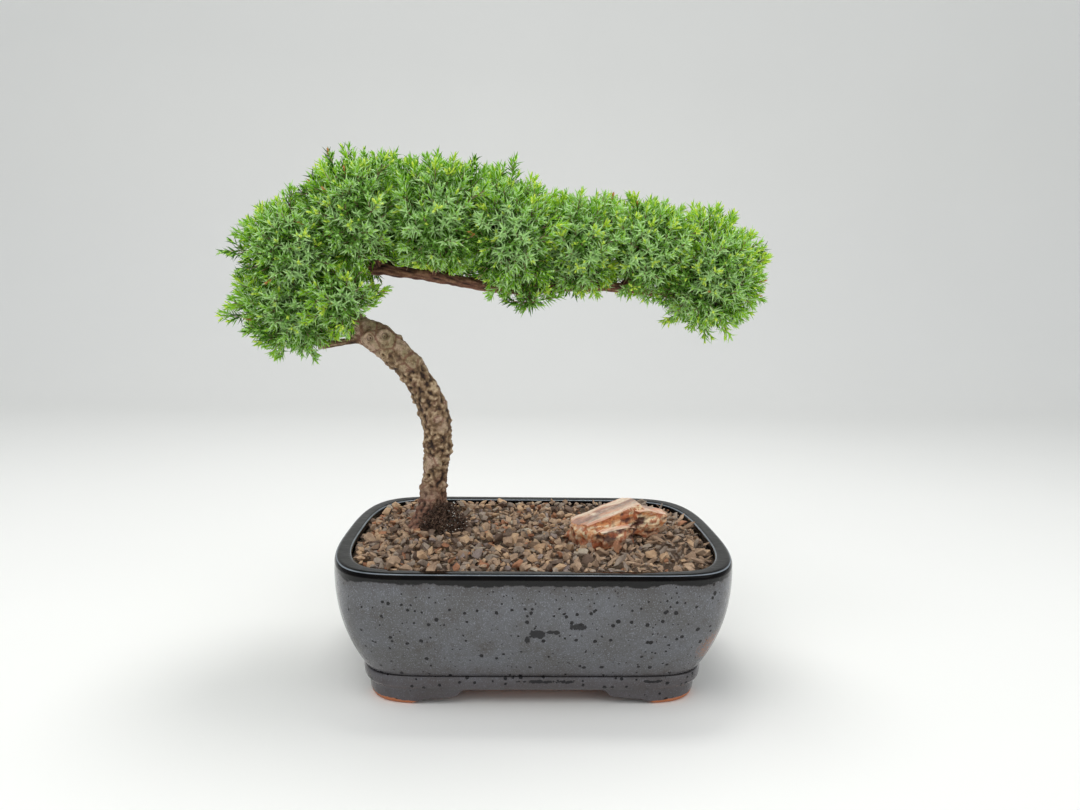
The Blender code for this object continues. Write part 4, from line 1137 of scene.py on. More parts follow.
class Gravel:
    """Lays chips of every kind on one heap, and gathers them by kind."""

    def __init__(self, rng):
        self.rng = rng
        self.shapes = chip_shapes(rng)
        self.heap = Heap()
        self.piles = {name: [] for name in (*CHIP_KINDS, "soil_crumbs", "white_bits")}

    def lay(self, kind, x, y, size, tip, sink, squeeze=1.0):
        rng = self.rng
        points, faces = self.shapes[rng.integers(CHIP_SHAPES)]
        scaled = points * size * np.array([1.0, squeeze, squeeze])
        turned = scaled @ turn_matrix(rng.uniform(0, 6.3), rng.normal() * tip, rng.normal() * tip).T
        self.piles[kind].append((self.heap.drop(turned, x, y, size / 2, sink), faces))

    def scatter(self, stone):
        """Chips at random places, but for the stone's and the mound's, until the pot is full."""
        rng = self.rng
        names = list(CHIP_KINDS)
        shares = np.array([CHIP_KINDS[name][0] for name in names])
        middle, spread, least, largest = CHIP_LENGTH
        for _ in range(CHIP_TRIES):
            size = float(np.clip(rng.lognormal(math.log(middle), spread), least, largest)) * MM
            x = rng.uniform(-1, 1) * (POT_WIDTH / 2 - RIM_WIDTH)
            y = rng.uniform(-1, 1) * (POT_DEPTH / 2 - RIM_WIDTH)
            to_mound = math.hypot(x - MOUND_CENTRE.x, y - MOUND_CENTRE.y)
            if not rim_room(x, y, size * 0.42) or under_stone(stone, x, y, size * 0.3):
                continue
            if to_mound < (BARE_MOUND[0] + BARE_MOUND[1] * rng.random()) * MM:
                continue
            if self.heap.top[self.heap.window(x, y, size * 0.3)].mean() > SOIL_LEVEL - 0.3 * MM:
                continue
            slaty = x > SLATY_FROM and rng.random() < SLATY_SHARE
            kind = names[rng.choice(len(names), p=shares)]
            if slaty and kind not in ("gravel_slate", "gravel_grey_brown"):
                kind = "gravel_grey_brown" if rng.random() < 0.6 else "gravel_slate"
            stretch, squeeze = (SLATY_STRETCH, SLATY_SQUEEZE) if slaty else (1.0, 1.0)
            self.lay(kind, x, y, size * stretch, CHIP_TIP, CHIP_SINK, squeeze)

    def crumbs(self):
        """Dark crumbs of soil over the mound by the trunk, with white bits among them."""
        rng = self.rng
        for _ in range(CRUMB_COUNT):
            angle, out = rng.uniform(0, 6.3), (CRUMB_REACH[0] + CRUMB_REACH[1] * rng.random() ** 0.8) * MM
            x = MOUND_CENTRE.x + math.cos(angle) * out
            y = MOUND_CENTRE.y + math.sin(angle) * out
            in_front = x > MOUND_CENTRE.x and y < MOUND_CENTRE.y
            white = rng.random() < (0.09 if in_front else 0.03)
            size = rng.uniform(*(WHITE_SIZE if white else CRUMB_SIZE)) * MM
            self.lay("white_bits" if white else "soil_crumbs", x, y, size, 0.8, 0.3)


def build_gravel(stone):
    """Chips all over the soil, but for the stone's place, and dark crumbs by the trunk."""
    gravel = Gravel(np.random.default_rng(GRAVEL_SEED))
    for kind, x, y, size in SINGLE_CHIPS:
        gravel.lay(kind, x * MM, y * MM, size * MM, 0.2, 0.30)
    gravel.scatter(stone)
    gravel.crumbs()
    colours = {name: (low, high) for name, (_, low, high) in CHIP_KINDS.items()} | CRUMB_COLOURS
    for name, chips in gravel.piles.items():
        counts = np.cumsum([0] + [len(points) for points, _ in chips[:-1]])
        points = np.concatenate([points for points, _ in chips])
        faces = np.concatenate([faces + start for (_, faces), start in zip(chips, counts)])
        mesh = mesh_from_arrays(name, points, faces)
        add_piece(name, mesh, [chip_material(name, *colours[name])])


def under_stone(stone, x, y, margin):
    """Whether the stone stands within a margin of a place on the soil."""
    for turn in range(6):
        reach = margin if turn else 0.0
        bearing = turn * 1.26
        spot = Vector((x + reach * math.cos(bearing), y + reach * math.sin(bearing), SOIL_LEVEL - 0.5 * MM))
        hit = stone.ray_cast(spot, UP)
        if hit[0] is not None and hit[1].z > 0:
            return True
    return False


def stone_block(block, foot):
    """One rough block, from a divided cube with its faces broken by noise."""
    shape = bmesh.new()
    bmesh.ops.create_cube(shape, size=1.0)
    bmesh.ops.subdivide_edges(shape, edges=shape.edges, cuts=block.cuts, use_grid_fill=True)
    for vert in shape.verts:
        vert.co = vert.co.lerp(vert.co.normalized() * STONE_BALL_RADIUS, STONE_ROUNDNESS)
        shifted = vert.co * STONE_WAVES + Vector((block.shift, 0, 0))
        vert.co += noise.noise_vector(shifted) * STONE_ROUGHNESS
        vert.co.xy *= 1 + block.flare * vert.co.z
    place = Matrix.Translation(foot + Vector(block.place) * MM)
    turn = Matrix.Rotation(STONE_TURN, 4, "Z") @ Matrix.Rotation(math.radians(block.tilt), 4, "Y")
    size = Matrix.Diagonal((*(Vector(block.size) * MM), 1.0))
    bmesh.ops.transform(shape, matrix=place @ turn @ size, verts=shape.verts)
    bmesh.ops.triangulate(shape, faces=shape.faces)
    return mesh_of(shape, "stone")


def stone_relief(local, out):
    """How far a point of the stone moves out, in millimetres, its shade and how broken it is. The shade, which
    goes darker in the hollows, is painted shade.
    """
    ledge = noise.noise(Vector((local.x * STONE_STRETCH, local.y, local.z)) / STONE_LEDGES)
    lumps = noise.fractal(local / STONE_LUMPS, 0.9, 2.1, 4)
    facets = 0.42 - noise.voronoi(local / STONE_FACETS)[0][0]
    broken = 1 - clamped((out.z - 0.35) / 0.4)
    push = (0.25 + 0.75 * broken) * (0.55 * ledge + 0.75 * lumps) + broken * 1.1 * facets + 0.2 * ledge
    shade = push
    for place, reach, depth in STONE_HOLLOWS:
        near = hill((local / MM - Vector(place)).length / reach)
        push -= depth * near
        shade -= 1.1 * near
    return push, shade, broken


def build_stone():
    """A chunk of petrified wood, broken in front, with ledges along its length. Returns its surface."""
    noise.seed_set(STONE_SEED)
    foot = STONE_CENTRE + UP * (SOIL_LEVEL + TOUCH_GAP)
    slab, *others = [stone_block(block, foot) for block in STONE_BLOCKS]
    mesh = boolean_mesh(slab, others, "UNION", "MANIFOLD")
    along = Matrix.Rotation(-STONE_TURN, 3, "Z")
    normals = [vert.normal.copy() for vert in mesh.vertices]
    shades, breaks = [], []
    for vert, out in zip(mesh.vertices, normals):
        push, shade, broken = stone_relief(along @ (vert.co - STONE_CENTRE), out)
        vert.co += out * push * MM
        vert.co.z = max(vert.co.z, BED_LEVEL)
        shades.append(shade)
        breaks.append(broken)
    store_attribute(mesh, "relief", shades)
    store_attribute(mesh, "broken", breaks)
    mesh.shade_smooth()
    mesh.set_sharp_from_angle(angle=STONE_SHARP)
    mesh.materials.clear()
    surface = BVHTree.FromPolygons([v.co for v in mesh.vertices], [p.vertices for p in mesh.polygons])
    add_piece("stone_broken", mesh, [stone_material()], ["accent_stone"])
    return surface


def value_at(values, place):
    low = min(int(place), len(values) - 2)
    share = place - low
    return values[low] * (1 - share) + values[low + 1] * share


# A place on a limb's skin: the point, the way out of it, how far along and round it is, and the limb's radius
Spot = namedtuple("Spot", "point out along turn radius")


class Limb:
    """A tapering limb: points on its centre line, its radii, and a frame at each point."""

    def __init__(self, points, radii_mm, steps):
        line = smooth_line(points, steps)
        self.points = [point for point, _ in line]
        self.radii = [value_at(radii_mm, place) * MM for _, place in line]

    def at(self, station):
        place = station * (len(self.points) - 1)
        return value_at(self.points, place), value_at(self.radii, place)

    def frames(self):
        """The direction at each point, and two axes across it that turn as little as they can."""
        behind = self.points[:1] + self.points[:-1]
        ahead = self.points[1:] + self.points[-1:]
        along = [(b - a).normalized() for a, b in zip(behind, ahead)]
        side = along[0].orthogonal().normalized()
        found = []
        for direction in along:
            side = (side - direction * side.dot(direction)).normalized()
            found.append((direction, side, direction.cross(side)))
        return found

    def skin(self, name, sides, relief):
        """A closed tube. relief gives for each spot its place, its shade and how scarred it is."""
        noise.seed_set(BARK_SEED)
        points, shades, scars = [], [], []
        travelled = 0.0
        before = self.points[0]
        for (_, side, over), centre, radius in zip(self.frames(), self.points, self.radii):
            travelled += (centre - before).length
            before = centre
            for k in range(sides):
                turn = 2 * math.pi * k / sides
                out = side * math.cos(turn) + over * math.sin(turn)
                spot = Spot(centre + out * radius, out, travelled, turn, radius)
                for found, value in zip((points, shades, scars), relief(spot)):
                    found.append(value)
        count = len(self.points)
        rings = np.array(points).reshape(count, sides, 3)
        _, quads = loft_arrays(list(rings))
        ends = np.array([self.points[0], self.points[-1]])
        k = np.arange(sides)
        j = (k + 1) % sides
        first, last = count * sides, count * sides + 1
        caps = [
            np.stack([j, k, np.full(sides, first)], axis=1),
            np.stack([k + first - sides, j + first - sides, np.full(sides, last)], axis=1),
        ]
        triangles = np.concatenate([quads[:, [0, 1, 2]], quads[:, [0, 2, 3]], *caps])
        mesh = mesh_from_arrays(name, np.concatenate([np.array(points), ends]), triangles, smooth=True)
        store_attribute(mesh, "relief", np.array([*shades, -1.0, -1.0]))
        store_attribute(mesh, "scarred", np.array([*scars, 1.0, 1.0]))
        return mesh


def scar_relief(point):
    """Leaf scars: pits with raised rims, in some of the cells of SCAR_SIZE."""
    distances, centres = noise.voronoi(point / SCAR_SIZE + Vector((SCAR_SHIFT, 0, 0)))
    if noise.cell(centres[0] * 3.7) < UNSCARRED:
        return 0.0
    return 0.7 * hill((distances[0] - 0.27) / 0.10) - 1.1 * hill(distances[0] / 0.15)


def root_flare(point):
    """The point moved out where the trunk spreads into its roots, most to the left."""
    height = point.z - TRUNK_FOOT.z
    if height > ROOT_FLARE_TOP:
        return point
    away = point - Vector((TRUNK_FOOT.x, TRUNK_FOOT.y, point.z))
    bearing = math.atan2(away.y, away.x)
    near = math.exp(-max(height, -3 * MM) / ROOT_FLARE_HEIGHT)
    lobes = ROOT_LOBES[0] + ROOT_LOBES[1] * math.cos(ROOT_COUNT * bearing + ROOT_TURN)
    to_left = 0.5 - 0.5 * math.cos(bearing)
    return point + away * near * ROOT_FLARE * (lobes + LEFT_ROOT * to_left)


def trunk_relief(spot):
    """The trunk's flare, knobs, scars and spurs: where a spot goes, its shade, and how scarred it is."""
    point = root_flare(spot.point)
    patch = noise.noise(point / PATCH_SIZE + Vector((0, 0, 6.2))) + 0.25 * noise.noise(point / (5 * MM))
    upward = clamped((point.z - SMOOTH_FROM) / SMOOTH_FADE)
    scarred = clamped((patch + 0.50 - 0.72 * upward) / 0.30)
    knots = noise.noise(point / KNOT_SIZE) + 0.5 * noise.noise(point / KNOT_SIZE * 2.3)
    bent = point + noise.noise_vector(point / (3 * MM)) * 0.9 * MM
    bumps = 0.45 - noise.voronoi(bent / BUMP_SIZE)[0][0]
    small = 0.45 - noise.voronoi(bent / SMALL_BUMP_SIZE)[0][0]
    lumps = noise.noise(point / LUMP_SIZE + Vector((4, 0, 0)))
    scars = scar_relief(bent)
    fine = noise.noise(point / GRAIN_SIZE)
    rough = 0.15 + 0.85 * max(scarred, clamped((FOOT_ROUGH_TOP - point.z) / FOOT_ROUGH_FADE))
    push = knots * KNOT_HEIGHT / MM + rough * (2.1 * bumps + 0.7 * small + 0.8 * lumps)
    push = push + 1.2 * scars + 0.22 * fine
    shade = rough * (1.7 * bumps + 0.8 * small + 0.7 * lumps) + 1.1 * scars + 0.25 * fine
    for eye in EYE_KNOTS:
        off = (point - eye).length
        ring = hill((off - EYE_REACH) / EYE_WALL)
        pit = hill(off / EYE_PIT)
        circles = math.cos(off / EYE_CIRCLES) * hill(off / EYE_REACH)
        around = min(1.0, off / EYE_CLEAR)
        push = push * around + 1.7 * ring + 0.25 * circles - 1.1 * pit
        shade = shade * around + 0.4 * ring - 0.7 * circles - 0.9 * pit
    for spur in SPURS:
        near = hill((point - Vector(spur) * MM).length / SPUR_REACH)
        push += SPUR_HEIGHT * near
        shade += 0.5 * near
    return point + spot.out * push * MM, shade, scarred


def strip_relief(spot):
    """Bark that peels in strips along a bough."""
    strips = noise.noise(Vector((spot.along / (9 * MM), spot.turn * 2.1, 0.0)))
    fibres = noise.noise(Vector((spot.along / (5 * MM), spot.turn * 5.2, 4.0)))
    fine = noise.noise(spot.point / GRAIN_SIZE)
    lumps = noise.noise(spot.point / (4 * MM))
    shade = 1.1 * strips + 0.7 * fibres + 0.3 * fine
    push = spot.radius * (0.20 * strips + 0.14 * fibres + 0.20 * lumps) + 0.15 * MM * fine
    return spot.point + spot.out * push, shade, 0.6


def side_bough(name, mass, parent):
    """A short bough from its place on the parent towards the middle of a mass."""
    start = parent.at(mass.station)[0]
    way = Vector(BOUGH_AIMS.get(name, mass.centre)) * MM - start
    end = start + way * SIDE_BOUGH_SHARE + Vector((0, 0, SIDE_BOUGH_RISE * way.length))
    return Limb([start, start + way * (SIDE_BOUGH_SHARE / 2), end], SIDE_BOUGH_RADII, SIDE_BOUGH_STEPS)


def build_wood():
    """The trunk, the long bough, the side boughs and the stub. Returns the limbs by name."""
    trunk = Limb([TRUNK_FOOT - UP * BURIED_LENGTH, *TRUNK_LINE], [BURIED_RADIUS, *TRUNK_RADII], TRUNK_STEPS)
    bark = bark_material("bark", "cdb392", "866a4c", "27170f", "875b4b")
    red_bark = bark_material("bough_bark", "a87c60", "7a5140", "2c1a14", "7a5140")
    mesh = trunk.skin("trunk_bark", TRUNK_SIDES, trunk_relief)
    add_piece("trunk_bark", mesh, [bark], ["trunk"])
    long_bough = Limb(LONG_BOUGH_LINE, LONG_BOUGH_RADII, LONG_BOUGH_STEPS)
    mesh = long_bough.skin("bough_long_bark", LONG_BOUGH_SIDES, strip_relief)
    add_piece("bough_long_bark", mesh, [red_bark], ["bough_long"])
    toward = STUB_TOWARD.normalized()
    stub_line = [STUB_START + toward * STUB_LENGTH * share for share in (0, 0.5, 1)]
    short = {"bough_stub": Limb(stub_line, STUB_RADII, SIDE_BOUGH_STEPS)}
    parents = {"trunk": Limb(TRUNK_LINE, TRUNK_RADII, 3), "bough_long": long_bough}
    for name, mass in MASSES.items():
        if mass.station < 1.0:
            short["bough_" + name] = side_bough(name, mass, parents[mass.parent])
    for name, limb in short.items():
        mesh = limb.skin(name + "_bark", SIDE_BOUGH_SIDES, strip_relief)
        add_piece(name + "_bark", mesh, [bark if name == "bough_stub" else red_bark], [name])
    return {"trunk": trunk, "bough_long": long_bough, **short}


class Wood:
    """The limbs as one set of short cones, to tell how far points lie from them."""

    def __init__(self, limbs):
        starts, ends, start_radii, end_radii = [], [], [], []
        for limb in limbs.values():
            stride = max(1, len(limb.points) // 24)
            picked = list(range(0, len(limb.points) - 1, stride)) + [len(limb.points) - 1]
            for a, b in zip(picked, picked[1:]):
                starts.append(limb.points[a])
                ends.append(limb.points[b])
                start_radii.append(limb.radii[a])
                end_radii.append(limb.radii[b])
        self.start = np.array(starts)
        self.along = np.array(ends) - self.start
        self.length2 = (self.along**2).sum(1)
        self.radii = np.array([start_radii, end_radii])

    def clearance(self, points):
        offset = points[:, None, :] - self.start[None]
        share = np.clip((offset * self.along[None]).sum(-1) / self.length2[None], 0, 1)
        gap = np.linalg.norm(offset - self.along[None] * share[..., None], axis=-1)
        return (gap - self.radii[0] * (1 - share) - self.radii[1] * share).min(1)


class Space:
    """The room that one mass keeps to."""

    def __init__(self, name):
        self.name = name
        self.centre = np.array(MASSES[name].centre) * MM
        self.reach = np.array(MASSES[name].reach) * MM
        self.others = []

    def level(self, points):
        return np.sqrt((((points - self.centre) / self.reach) ** 2).sum(-1))

    def edges(self, directions):
        """For each direction, how far it is from the centre to the ellipsoid, and to a neighbour's space."""
        full = 1 / np.linalg.norm(directions / self.reach, axis=1)
        shares = np.arange(1, EDGE_STEPS + 1) / EDGE_STEPS
        points = self.centre + directions[:, None, :] * (full[:, None] * shares[None])[..., None]
        nearest = np.min([other.level(points) for other in self.others], axis=0)
        blocked = shares[None] > nearest - NEIGHBOUR_MARGIN
        first = np.where(blocked.any(1), blocked.argmax(1), EDGE_STEPS)
        return full, full * first / EDGE_STEPS


def even_directions(count, rng):
    """Directions spread evenly over a sphere on a golden spiral, turned at random."""
    golden = math.pi * (3 - math.sqrt(5))
    k = np.arange(count)
    z = 1 - (2 * k + 1) / count
    ring = np.sqrt(1 - z * z)
    turn = golden * k + rng.random() * 2 * math.pi
    return np.stack([ring * np.cos(turn), ring * np.sin(turn), z], axis=1)


def unit(vectors):
    return vectors / np.maximum(np.linalg.norm(vectors, axis=-1, keepdims=True), 1e-9)


def across(direction):
    """Two directions square to one or more."""
    side = unit(np.cross(direction, ASKEW))
    return side, np.cross(direction, side)


class Spray:
    """Gathers the needles and the twigs of one mass."""

    def __init__(self, rng):
        self.rng = rng
        self.whorls = []
        self.twigs = []

    def needles(self, line, growth, kind, deep_foot=0.0):
        """Whorls of three needles along a line of points, deep green along a share of it from its foot."""
        rng = self.rng
        passed = np.concatenate([[0], np.cumsum(np.linalg.norm(np.diff(line, axis=0), axis=1))])
        start = growth.first * passed[-1]
        count = max(2, int((passed[-1] - start) / growth.spacing) + 1)
        stations = np.linspace(start, passed[-1], count) + rng.normal(0, 0.12, count) * growth.spacing
        stations = np.clip(stations, 0, passed[-1])
        share = (stations / passed[-1])[:, None]
        steps = (stations, stations + 0.3 * MM, stations - 0.3 * MM)
        spots = [np.stack([np.interp(step, passed, line[:, i]) for i in range(3)], axis=1) for step in steps]
        centre, ahead, behind = spots
        forward = unit(ahead - behind)
        side, over = across(forward)
        whorl = np.arange(count)[:, None] * (math.pi / 3) + np.arange(3)[None] * (2 * math.pi / 3)
        whorl = whorl + rng.random() * 6.3 + rng.normal(0, 0.16, (count, 3))
        radial = side[:, None] * np.cos(whorl)[..., None] + over[:, None] * np.sin(whorl)[..., None]
        lean = growth.lean[0] + (growth.lean[1] - growth.lean[0]) * share + rng.normal(0, 7, (count, 3))
        lean = np.radians(lean)[..., None]
        along = forward[:, None] * np.cos(lean) + radial * np.sin(lean)
        face = forward[:, None] * np.sin(lean) - radial * np.cos(lean)
        length = growth.length[0] + (growth.length[1] - growth.length[0]) * share
        length = length * rng.uniform(0.82, 1.12, (count, 3))
        width = growth.width[0] + (growth.width[1] - growth.width[0]) * share
        width = width * rng.uniform(0.88, 1.12, (count, 3))
        kinds = np.full((count, 3), kind)
        if deep_foot:
            kinds[(share[:, 0] + rng.normal(0, 0.12, count)) < deep_foot] = DEEP
        bend = rng.normal(0.05, 0.10, count * 3)
        foot = np.repeat(centre, 3, axis=0)
        sizes = (length.ravel(), width.ravel(), bend, kinds.ravel())
        self.whorls.append((foot, along.reshape(-1, 3), face.reshape(-1, 3), *sizes))

    def bud(self, end, aim, inside, outside, kind):
        """A tight bud round the end of a shoot, from inside it to beyond it, in millimetres."""
        self.needles(np.array([end - aim * inside * MM, end + aim * outside * MM]), BUD_GROWTH, kind)

    def twig(self, line, thickness):
        self.twigs.append((line, *thickness))


def bezier(first, middle, last, count):
    t = np.linspace(0, 1, count)[:, None]
    return first * (1 - t) ** 2 + middle * 2 * t * (1 - t) + last * t**2


def turned(direction, angle, bearing):
    """A direction turned away from another by an angle, towards a bearing round it."""
    side, over = across(direction)
    radial = side * math.cos(bearing) + over * math.sin(bearing)
    return direction * math.cos(angle) + radial * math.sin(angle)


def grow_shoot(spray, root, tip, vigour, tone):
    """One shoot from root to tip: needles, side shoots, and buds or knobs of new growth at the ends."""
    rng = spray.rng
    way = tip - root
    length = np.linalg.norm(way)
    middle = root + way * 0.5 + np.array([0, 0, -SHOOT_SAG * length]) + rng.normal(0, 0.05, 3) * length
    line = bezier(root, middle, tip, 9)
    spray.twig(line[::2], SHOOT_TWIG)
    spray.needles(line, MAIN_GROWTH, tone, DEEP_FOOT)
    heading = unit(line[-1] - line[-2])
    fresh = NEW if rng.random() < vigour else LIGHT
    if rng.random() < DEAD_TIPS:
        fresh = DEAD
    spray.bud(tip, heading, 1.0, 2.6, fresh)
    bearing = rng.random() * 6.3
    sides = int(length / SIDE_SPACING)
    for k in range(sides):
        share = 0.22 + 0.62 * (k + rng.uniform(0.2, 0.8)) / sides
        place = value_at(list(line), share * (len(line) - 1))
        bearing += 2.4
        out = turned(heading, math.radians(rng.uniform(36, 52)), bearing)
        grow_side_shoot(spray, place, unit(out + UPWARD), heading, (1 - share) * length, vigour, tone)
    if rng.random() < 0.35 + vigour * 0.5:
        for k in range(rng.integers(2, 4)):
            start = tip - heading * rng.uniform(0.5, 4.0) * MM
            out = turned(heading, math.radians(rng.uniform(28, 48)), bearing + k * 2.1)
            reach = rng.uniform(3.2, 5.2) * MM
            knob = LIGHT if fresh == DEAD else fresh
            spray.needles(np.array([start, start + out * reach]), KNOB_GROWTH, knob)


def grow_side_shoot(spray, place, out, heading, beyond, vigour, tone):
    """A side shoot that bends towards the shoot's heading, longer where more of the shoot is beyond it."""
    rng = spray.rng
    reach = (SIDE_REACH + SIDE_REACH_SHARE * beyond) * rng.uniform(0.8, 1.2)
    curve = bezier(place, place + out * reach * 0.55, place + unit(out + heading * 0.35) * reach, 5)
    spray.twig(curve[::4], SIDE_TWIG)
    spray.needles(curve, SIDE_GROWTH, tone, SIDE_DEEP_FOOT)
    fresh = NEW if rng.random() < vigour * 0.8 else LIGHT
    spray.bud(curve[-1], unit(curve[-1] - curve[-2]), 0.8, 2.0, fresh)


def grow_mass(space, carrier, wood, rng):
    """The twigs and needles of one mass: branches from its stem, and shoots out to the edge of its space."""
    spray = Spray(rng)
    centre = space.centre
    end, before = carrier.points[-1], carrier.points[-2]
    spray.twig(bezier(np.array(end), np.array(end + end - before), centre, 6), STEM_TWIG)
    arms = even_directions(BRANCHES, rng)
    arm_full, arm_free = space.edges(arms)
    arm_ends = centre + arms * (np.minimum(arm_free, arm_full) * BRANCH_SHARE)[:, None]
    for end in arm_ends:
        middle = (centre + end) / 2 + rng.normal(0, 1.0, 3) * MM
        spray.twig(bezier(centre, middle, end, 5), BRANCH_TWIG)
    for target in MASSES[space.name].leaders:
        goal = np.array(target) * MM
        tip = goal - unit(goal - centre) * LEADER_BUD_ROOM
        root = centre + (goal - centre) * LEADER_ROOT
        spray.twig(np.array([centre, root]), LEADER_TWIG)
        grow_shoot(spray, root, tip, LEADER_VIGOUR, MID)
    reach = (space.reach**2).sum() ** 0.5 / math.sqrt(3)
    directions = even_directions(int(4 * math.pi * reach**2 / SHOOT_SPACING**2), rng)
    for direction, whole, room in zip(directions, *space.edges(directions)):
        if room < whole * LEAST_FREE:
            continue
        surface = room + (OVERLAP if room < whole else bridge(space, centre + direction * whole))
        surface = surface * rng.uniform(*SHOOT_REACH) - BUD_ROOM
        if rng.random() < LONG_SHOOTS:
            surface += rng.uniform(*LONG_REACH)
        tip = centre + direction * surface
        length = min(rng.uniform(*SHOOT_LENGTH), surface * 0.78)
        sway = rng.normal(0, 0.13, 3) + np.array([0, 0, 0.10])
        root = tip - unit(direction + sway) * length
        way = np.linspace(root, tip, 5)
        if wood.clearance(way).min() < AXIS_ROOM or over_bare_wood(way).any():
            continue
        nearest = np.linalg.norm(arm_ends - root, axis=1).argmin()
        joint = centre + (arm_ends[nearest] - centre) * rng.uniform(0.5, 1.0)
        spray.twig(np.array([joint, root]), JOINT_TWIG)
        vigour = place_share(VIGOUR, centre[0], max(direction[2], -0.5))
        tone = rng.choice([DEEP, MID, LIGHT], p=tone_shares(centre[0], direction[2]))
        grow_shoot(spray, root, tip, vigour, tone)
    return spray


def place_share(shares, x, height):
    """A share for a place in the crown: its value on the left, with more for height and more on the right."""
    base, by_height, on_right = shares
    return base + by_height * height + (on_right if x > 0.0 else 0.0)


def tone_shares(x, height):
    """How often a shoot is deep, middle or light green: lighter at the top and to the right."""
    deep = place_share(DEEP_SHARE, x, height)
    light = place_share(LIGHT_SHARE, x, height)
    return [deep, 1 - deep - light, light]


def bridge(space, point):
    """How much further shoots reach where a neighbour is close, so that no notch shows between the two."""
    if point[2] < space.centre[2]:
        return 0.0
    near = min(float(other.level(point)) for other in space.others)
    return BRIDGE_HEIGHT * max(0.0, min(1.0, (BRIDGE_FROM - near) / (BRIDGE_FROM - 1)))


def over_bare_wood(points):
    """Which points would hang in front of or under a bare stretch of the wood."""
    found = np.zeros(len(points), bool)
    for start, end in BARE_LINES:
        share = (points[:, 0] / MM - start[0]) / (end[0] - start[0])
        below = (start[1] + (end[1] - start[1]) * share) * MM - points[:, 2]
        found |= (share > 0) & (share < 1) & (below > 0) & (below < BARE_DROP)
    return found


def needle_arrays(spray, wood):
    """Points, triangles and materials of a mass's needles, less those that touch wood or leave the box."""
    foot, along, over, length, width, bend, kind = (np.concatenate(part) for part in zip(*spray.whorls))
    tip = foot + (along + over * bend[:, None]) * length[:, None]
    middle = foot + along * length[:, None] * 0.6
    keep = ((tip > np.array(CAD_LOW - POT_PLACE)) & (tip < np.array(CAD_HIGH - POT_PLACE))).all(1)
    keep &= (wood.clearance(tip) > NEEDLE_ROOM) & (wood.clearance(middle) > NEEDLE_ROOM)
    keep &= ~over_bare_wood(foot) & ~over_bare_wood(tip)
    parts = (foot, along, over, length, width, bend, kind)
    foot, along, over, length, width, bend, kind = (part[keep] for part in parts)
    side = np.cross(along, over)
    reach = along * length[:, None]
    shoulder = foot + reach * NEEDLE_SHOULDER
    half = side * (width / 2)[:, None]
    lift = over * (bend * length)[:, None]
    raised = over * (width * NEEDLE_KEEL)[:, None] + lift * NEEDLE_SHOULDER
    points = np.stack([foot, shoulder + half + raised, shoulder - half + raised, foot + reach + lift], axis=1)
    corners = np.array([[0, 1, 2], [1, 3, 2], [0, 3, 1], [0, 2, 3]])
    faces = corners[None] + (np.arange(len(foot)) * 4)[:, None, None]
    upper = UPPER_OF[kind]
    kinds = np.stack([upper, upper, kind, kind], axis=1)
    return points.reshape(-1, 3), faces.reshape(-1, 3), kinds.ravel()


def twig_arrays(twigs, sides=3):
    """Points and triangles of thin tubes that taper along their lines."""
    all_points, all_faces, start = [], [], 0
    turn = np.arange(sides) * 2 * math.pi / sides
    for line, first, last in twigs:
        count = len(line)
        heading = unit(np.gradient(line, axis=0))
        side, over = across(heading)
        radius = np.linspace(first, last, count)[:, None, None]
        ring = side[:, None] * np.cos(turn)[None, :, None] + over[:, None] * np.sin(turn)[None, :, None]
        points = (line[:, None] + ring * radius).reshape(-1, 3)
        i = np.arange(sides)
        j = (i + 1) % sides
        for k in range(count - 1):
            a, b = start + k * sides, start + (k + 1) * sides
            all_faces.append(np.stack([a + i, a + j, b + j], axis=1))
            all_faces.append(np.stack([a + i, b + j, b + i], axis=1))
        last = start + len(points)
        all_faces.append(np.array([[start, start + 2, start + 1], [last - 3, last - 2, last - 1]]))
        all_points.append(points)
        start += len(points)
    return np.concatenate(all_points), np.concatenate(all_faces)


def build_foliage(limbs):
    """One piece of needles for each mass, and the twigs of all of them in one piece."""
    wood = Wood(limbs)
    spaces = [Space(name) for name in MASSES]
    materials = [needle_material(*row) for row in NEEDLE_COLOURS]
    twigs = []
    for order, space in enumerate(spaces):
        space.others = [other for other in spaces if other is not space]
        rng = np.random.default_rng(FOLIAGE_SEED + order)
        mass = MASSES[space.name]
        carrier = limbs[mass.parent] if mass.station == 1.0 else limbs["bough_" + space.name]
        spray = grow_mass(space, carrier, wood, rng)
        points, faces, kinds = needle_arrays(spray, wood)
        name = "needles_" + space.name
        mesh = mesh_from_arrays(name, points, faces, kinds)
        add_piece(name, mesh, materials, ["foliage_" + space.name])
        twigs += spray.twigs
    points, faces = twig_arrays(twigs)
    twig_wood = bark_material("twig_wood", "8f7a4c", "77603e", "4a3626", "77603e")
    add_piece("twigs", mesh_from_arrays("twigs", points, faces, smooth=True), [twig_wood])


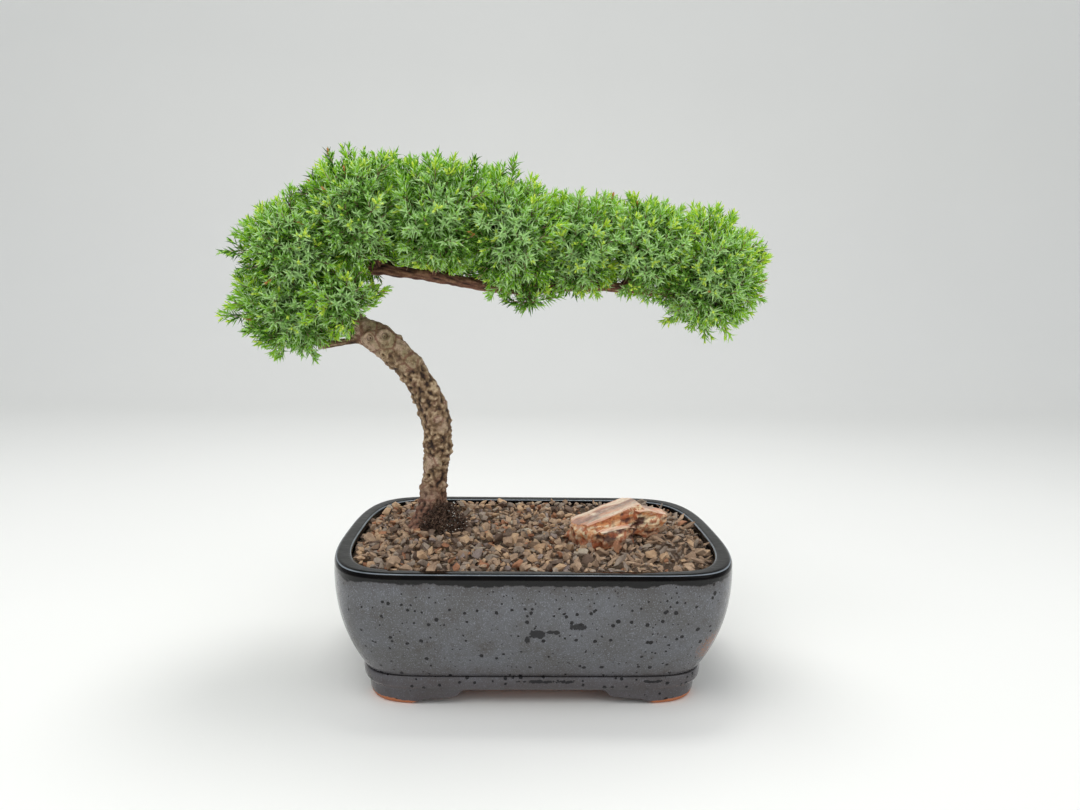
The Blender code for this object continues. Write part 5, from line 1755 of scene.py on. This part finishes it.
def build_stage():
    """A pale floor that rises behind into a backdrop, soft lights, and a pale sky."""
    profile = [(FLOOR_FRONT, 0.0), (FLOOR_BACK, 0.0)]
    for k in range(1, 13):
        turn = math.pi / 2 * k / 12
        rise = BACKDROP_BEND - BACKDROP_BEND * math.cos(turn)
        profile.append((FLOOR_BACK + BACKDROP_BEND * math.sin(turn), rise))
    profile.append((FLOOR_BACK + BACKDROP_BEND, BACKDROP_TOP))
    points = np.array([(x, y, z) for y, z in profile for x in (-FLOOR_HALF, FLOOR_HALF)])
    k = np.arange(len(profile) - 1) * 2
    mesh = mesh_from_arrays("floor", points, np.stack([k, k + 1, k + 3, k + 2], axis=1), smooth=True)
    floor = add_to_scene(bpy.data.objects.new("floor", mesh))
    tree = Tree("floor_paint")
    paint = tree.mix(tree.noise(0.3, 2), colour("f0efeb"), colour("f3f2ee"))
    mesh.materials.append(tree.finish(colour=paint, roughness=0.55))

    world = bpy.data.worlds.new("sky")
    world.use_nodes = True
    sky = world.node_tree.nodes["Background"]
    sky.inputs["Color"].default_value = SKY_COLOUR
    sky.inputs["Strength"].default_value = SKY_STRENGTH
    bpy.context.scene.world = world
    for light in LIGHTS:
        add_light(*light)


def add_light(name, place, size, power):
    """A soft round light that points at the plant."""
    data = bpy.data.lights.new(name, "AREA")
    data.shape = "DISK"
    data.size = size
    data.energy = power
    light = add_to_scene(bpy.data.objects.new(name, data))
    light.location = place
    light.rotation_euler = (LIGHT_AIM - Vector(place)).to_track_quat("-Z", "Y").to_euler()


def build_camera():
    """The camera at the photo's place, and colours shown as they are."""
    aim = CAMERA_AIM.normalized()
    right = aim.cross(UP).normalized()
    up = right.cross(aim)
    x = right * math.cos(CAMERA_ROLL) + up * math.sin(CAMERA_ROLL)
    y = up * math.cos(CAMERA_ROLL) - right * math.sin(CAMERA_ROLL)
    data = bpy.data.cameras.new("camera")
    data.lens = CAMERA_LENS
    data.clip_start = 0.01
    camera = add_to_scene(bpy.data.objects.new("camera", data))
    turn = Matrix((x, y, -aim)).transposed().to_4x4()
    camera.matrix_world = Matrix.Translation(CAMERA_PLACE + POT_PLACE) @ turn
    bpy.context.scene.camera = camera
    bpy.context.scene.view_settings.view_transform = "Standard"


build_camera()
build_stage()
build_pot()
build_bed()
stone_surface = build_stone()
build_gravel(stone_surface)
limbs = build_wood()
build_foliage(limbs)
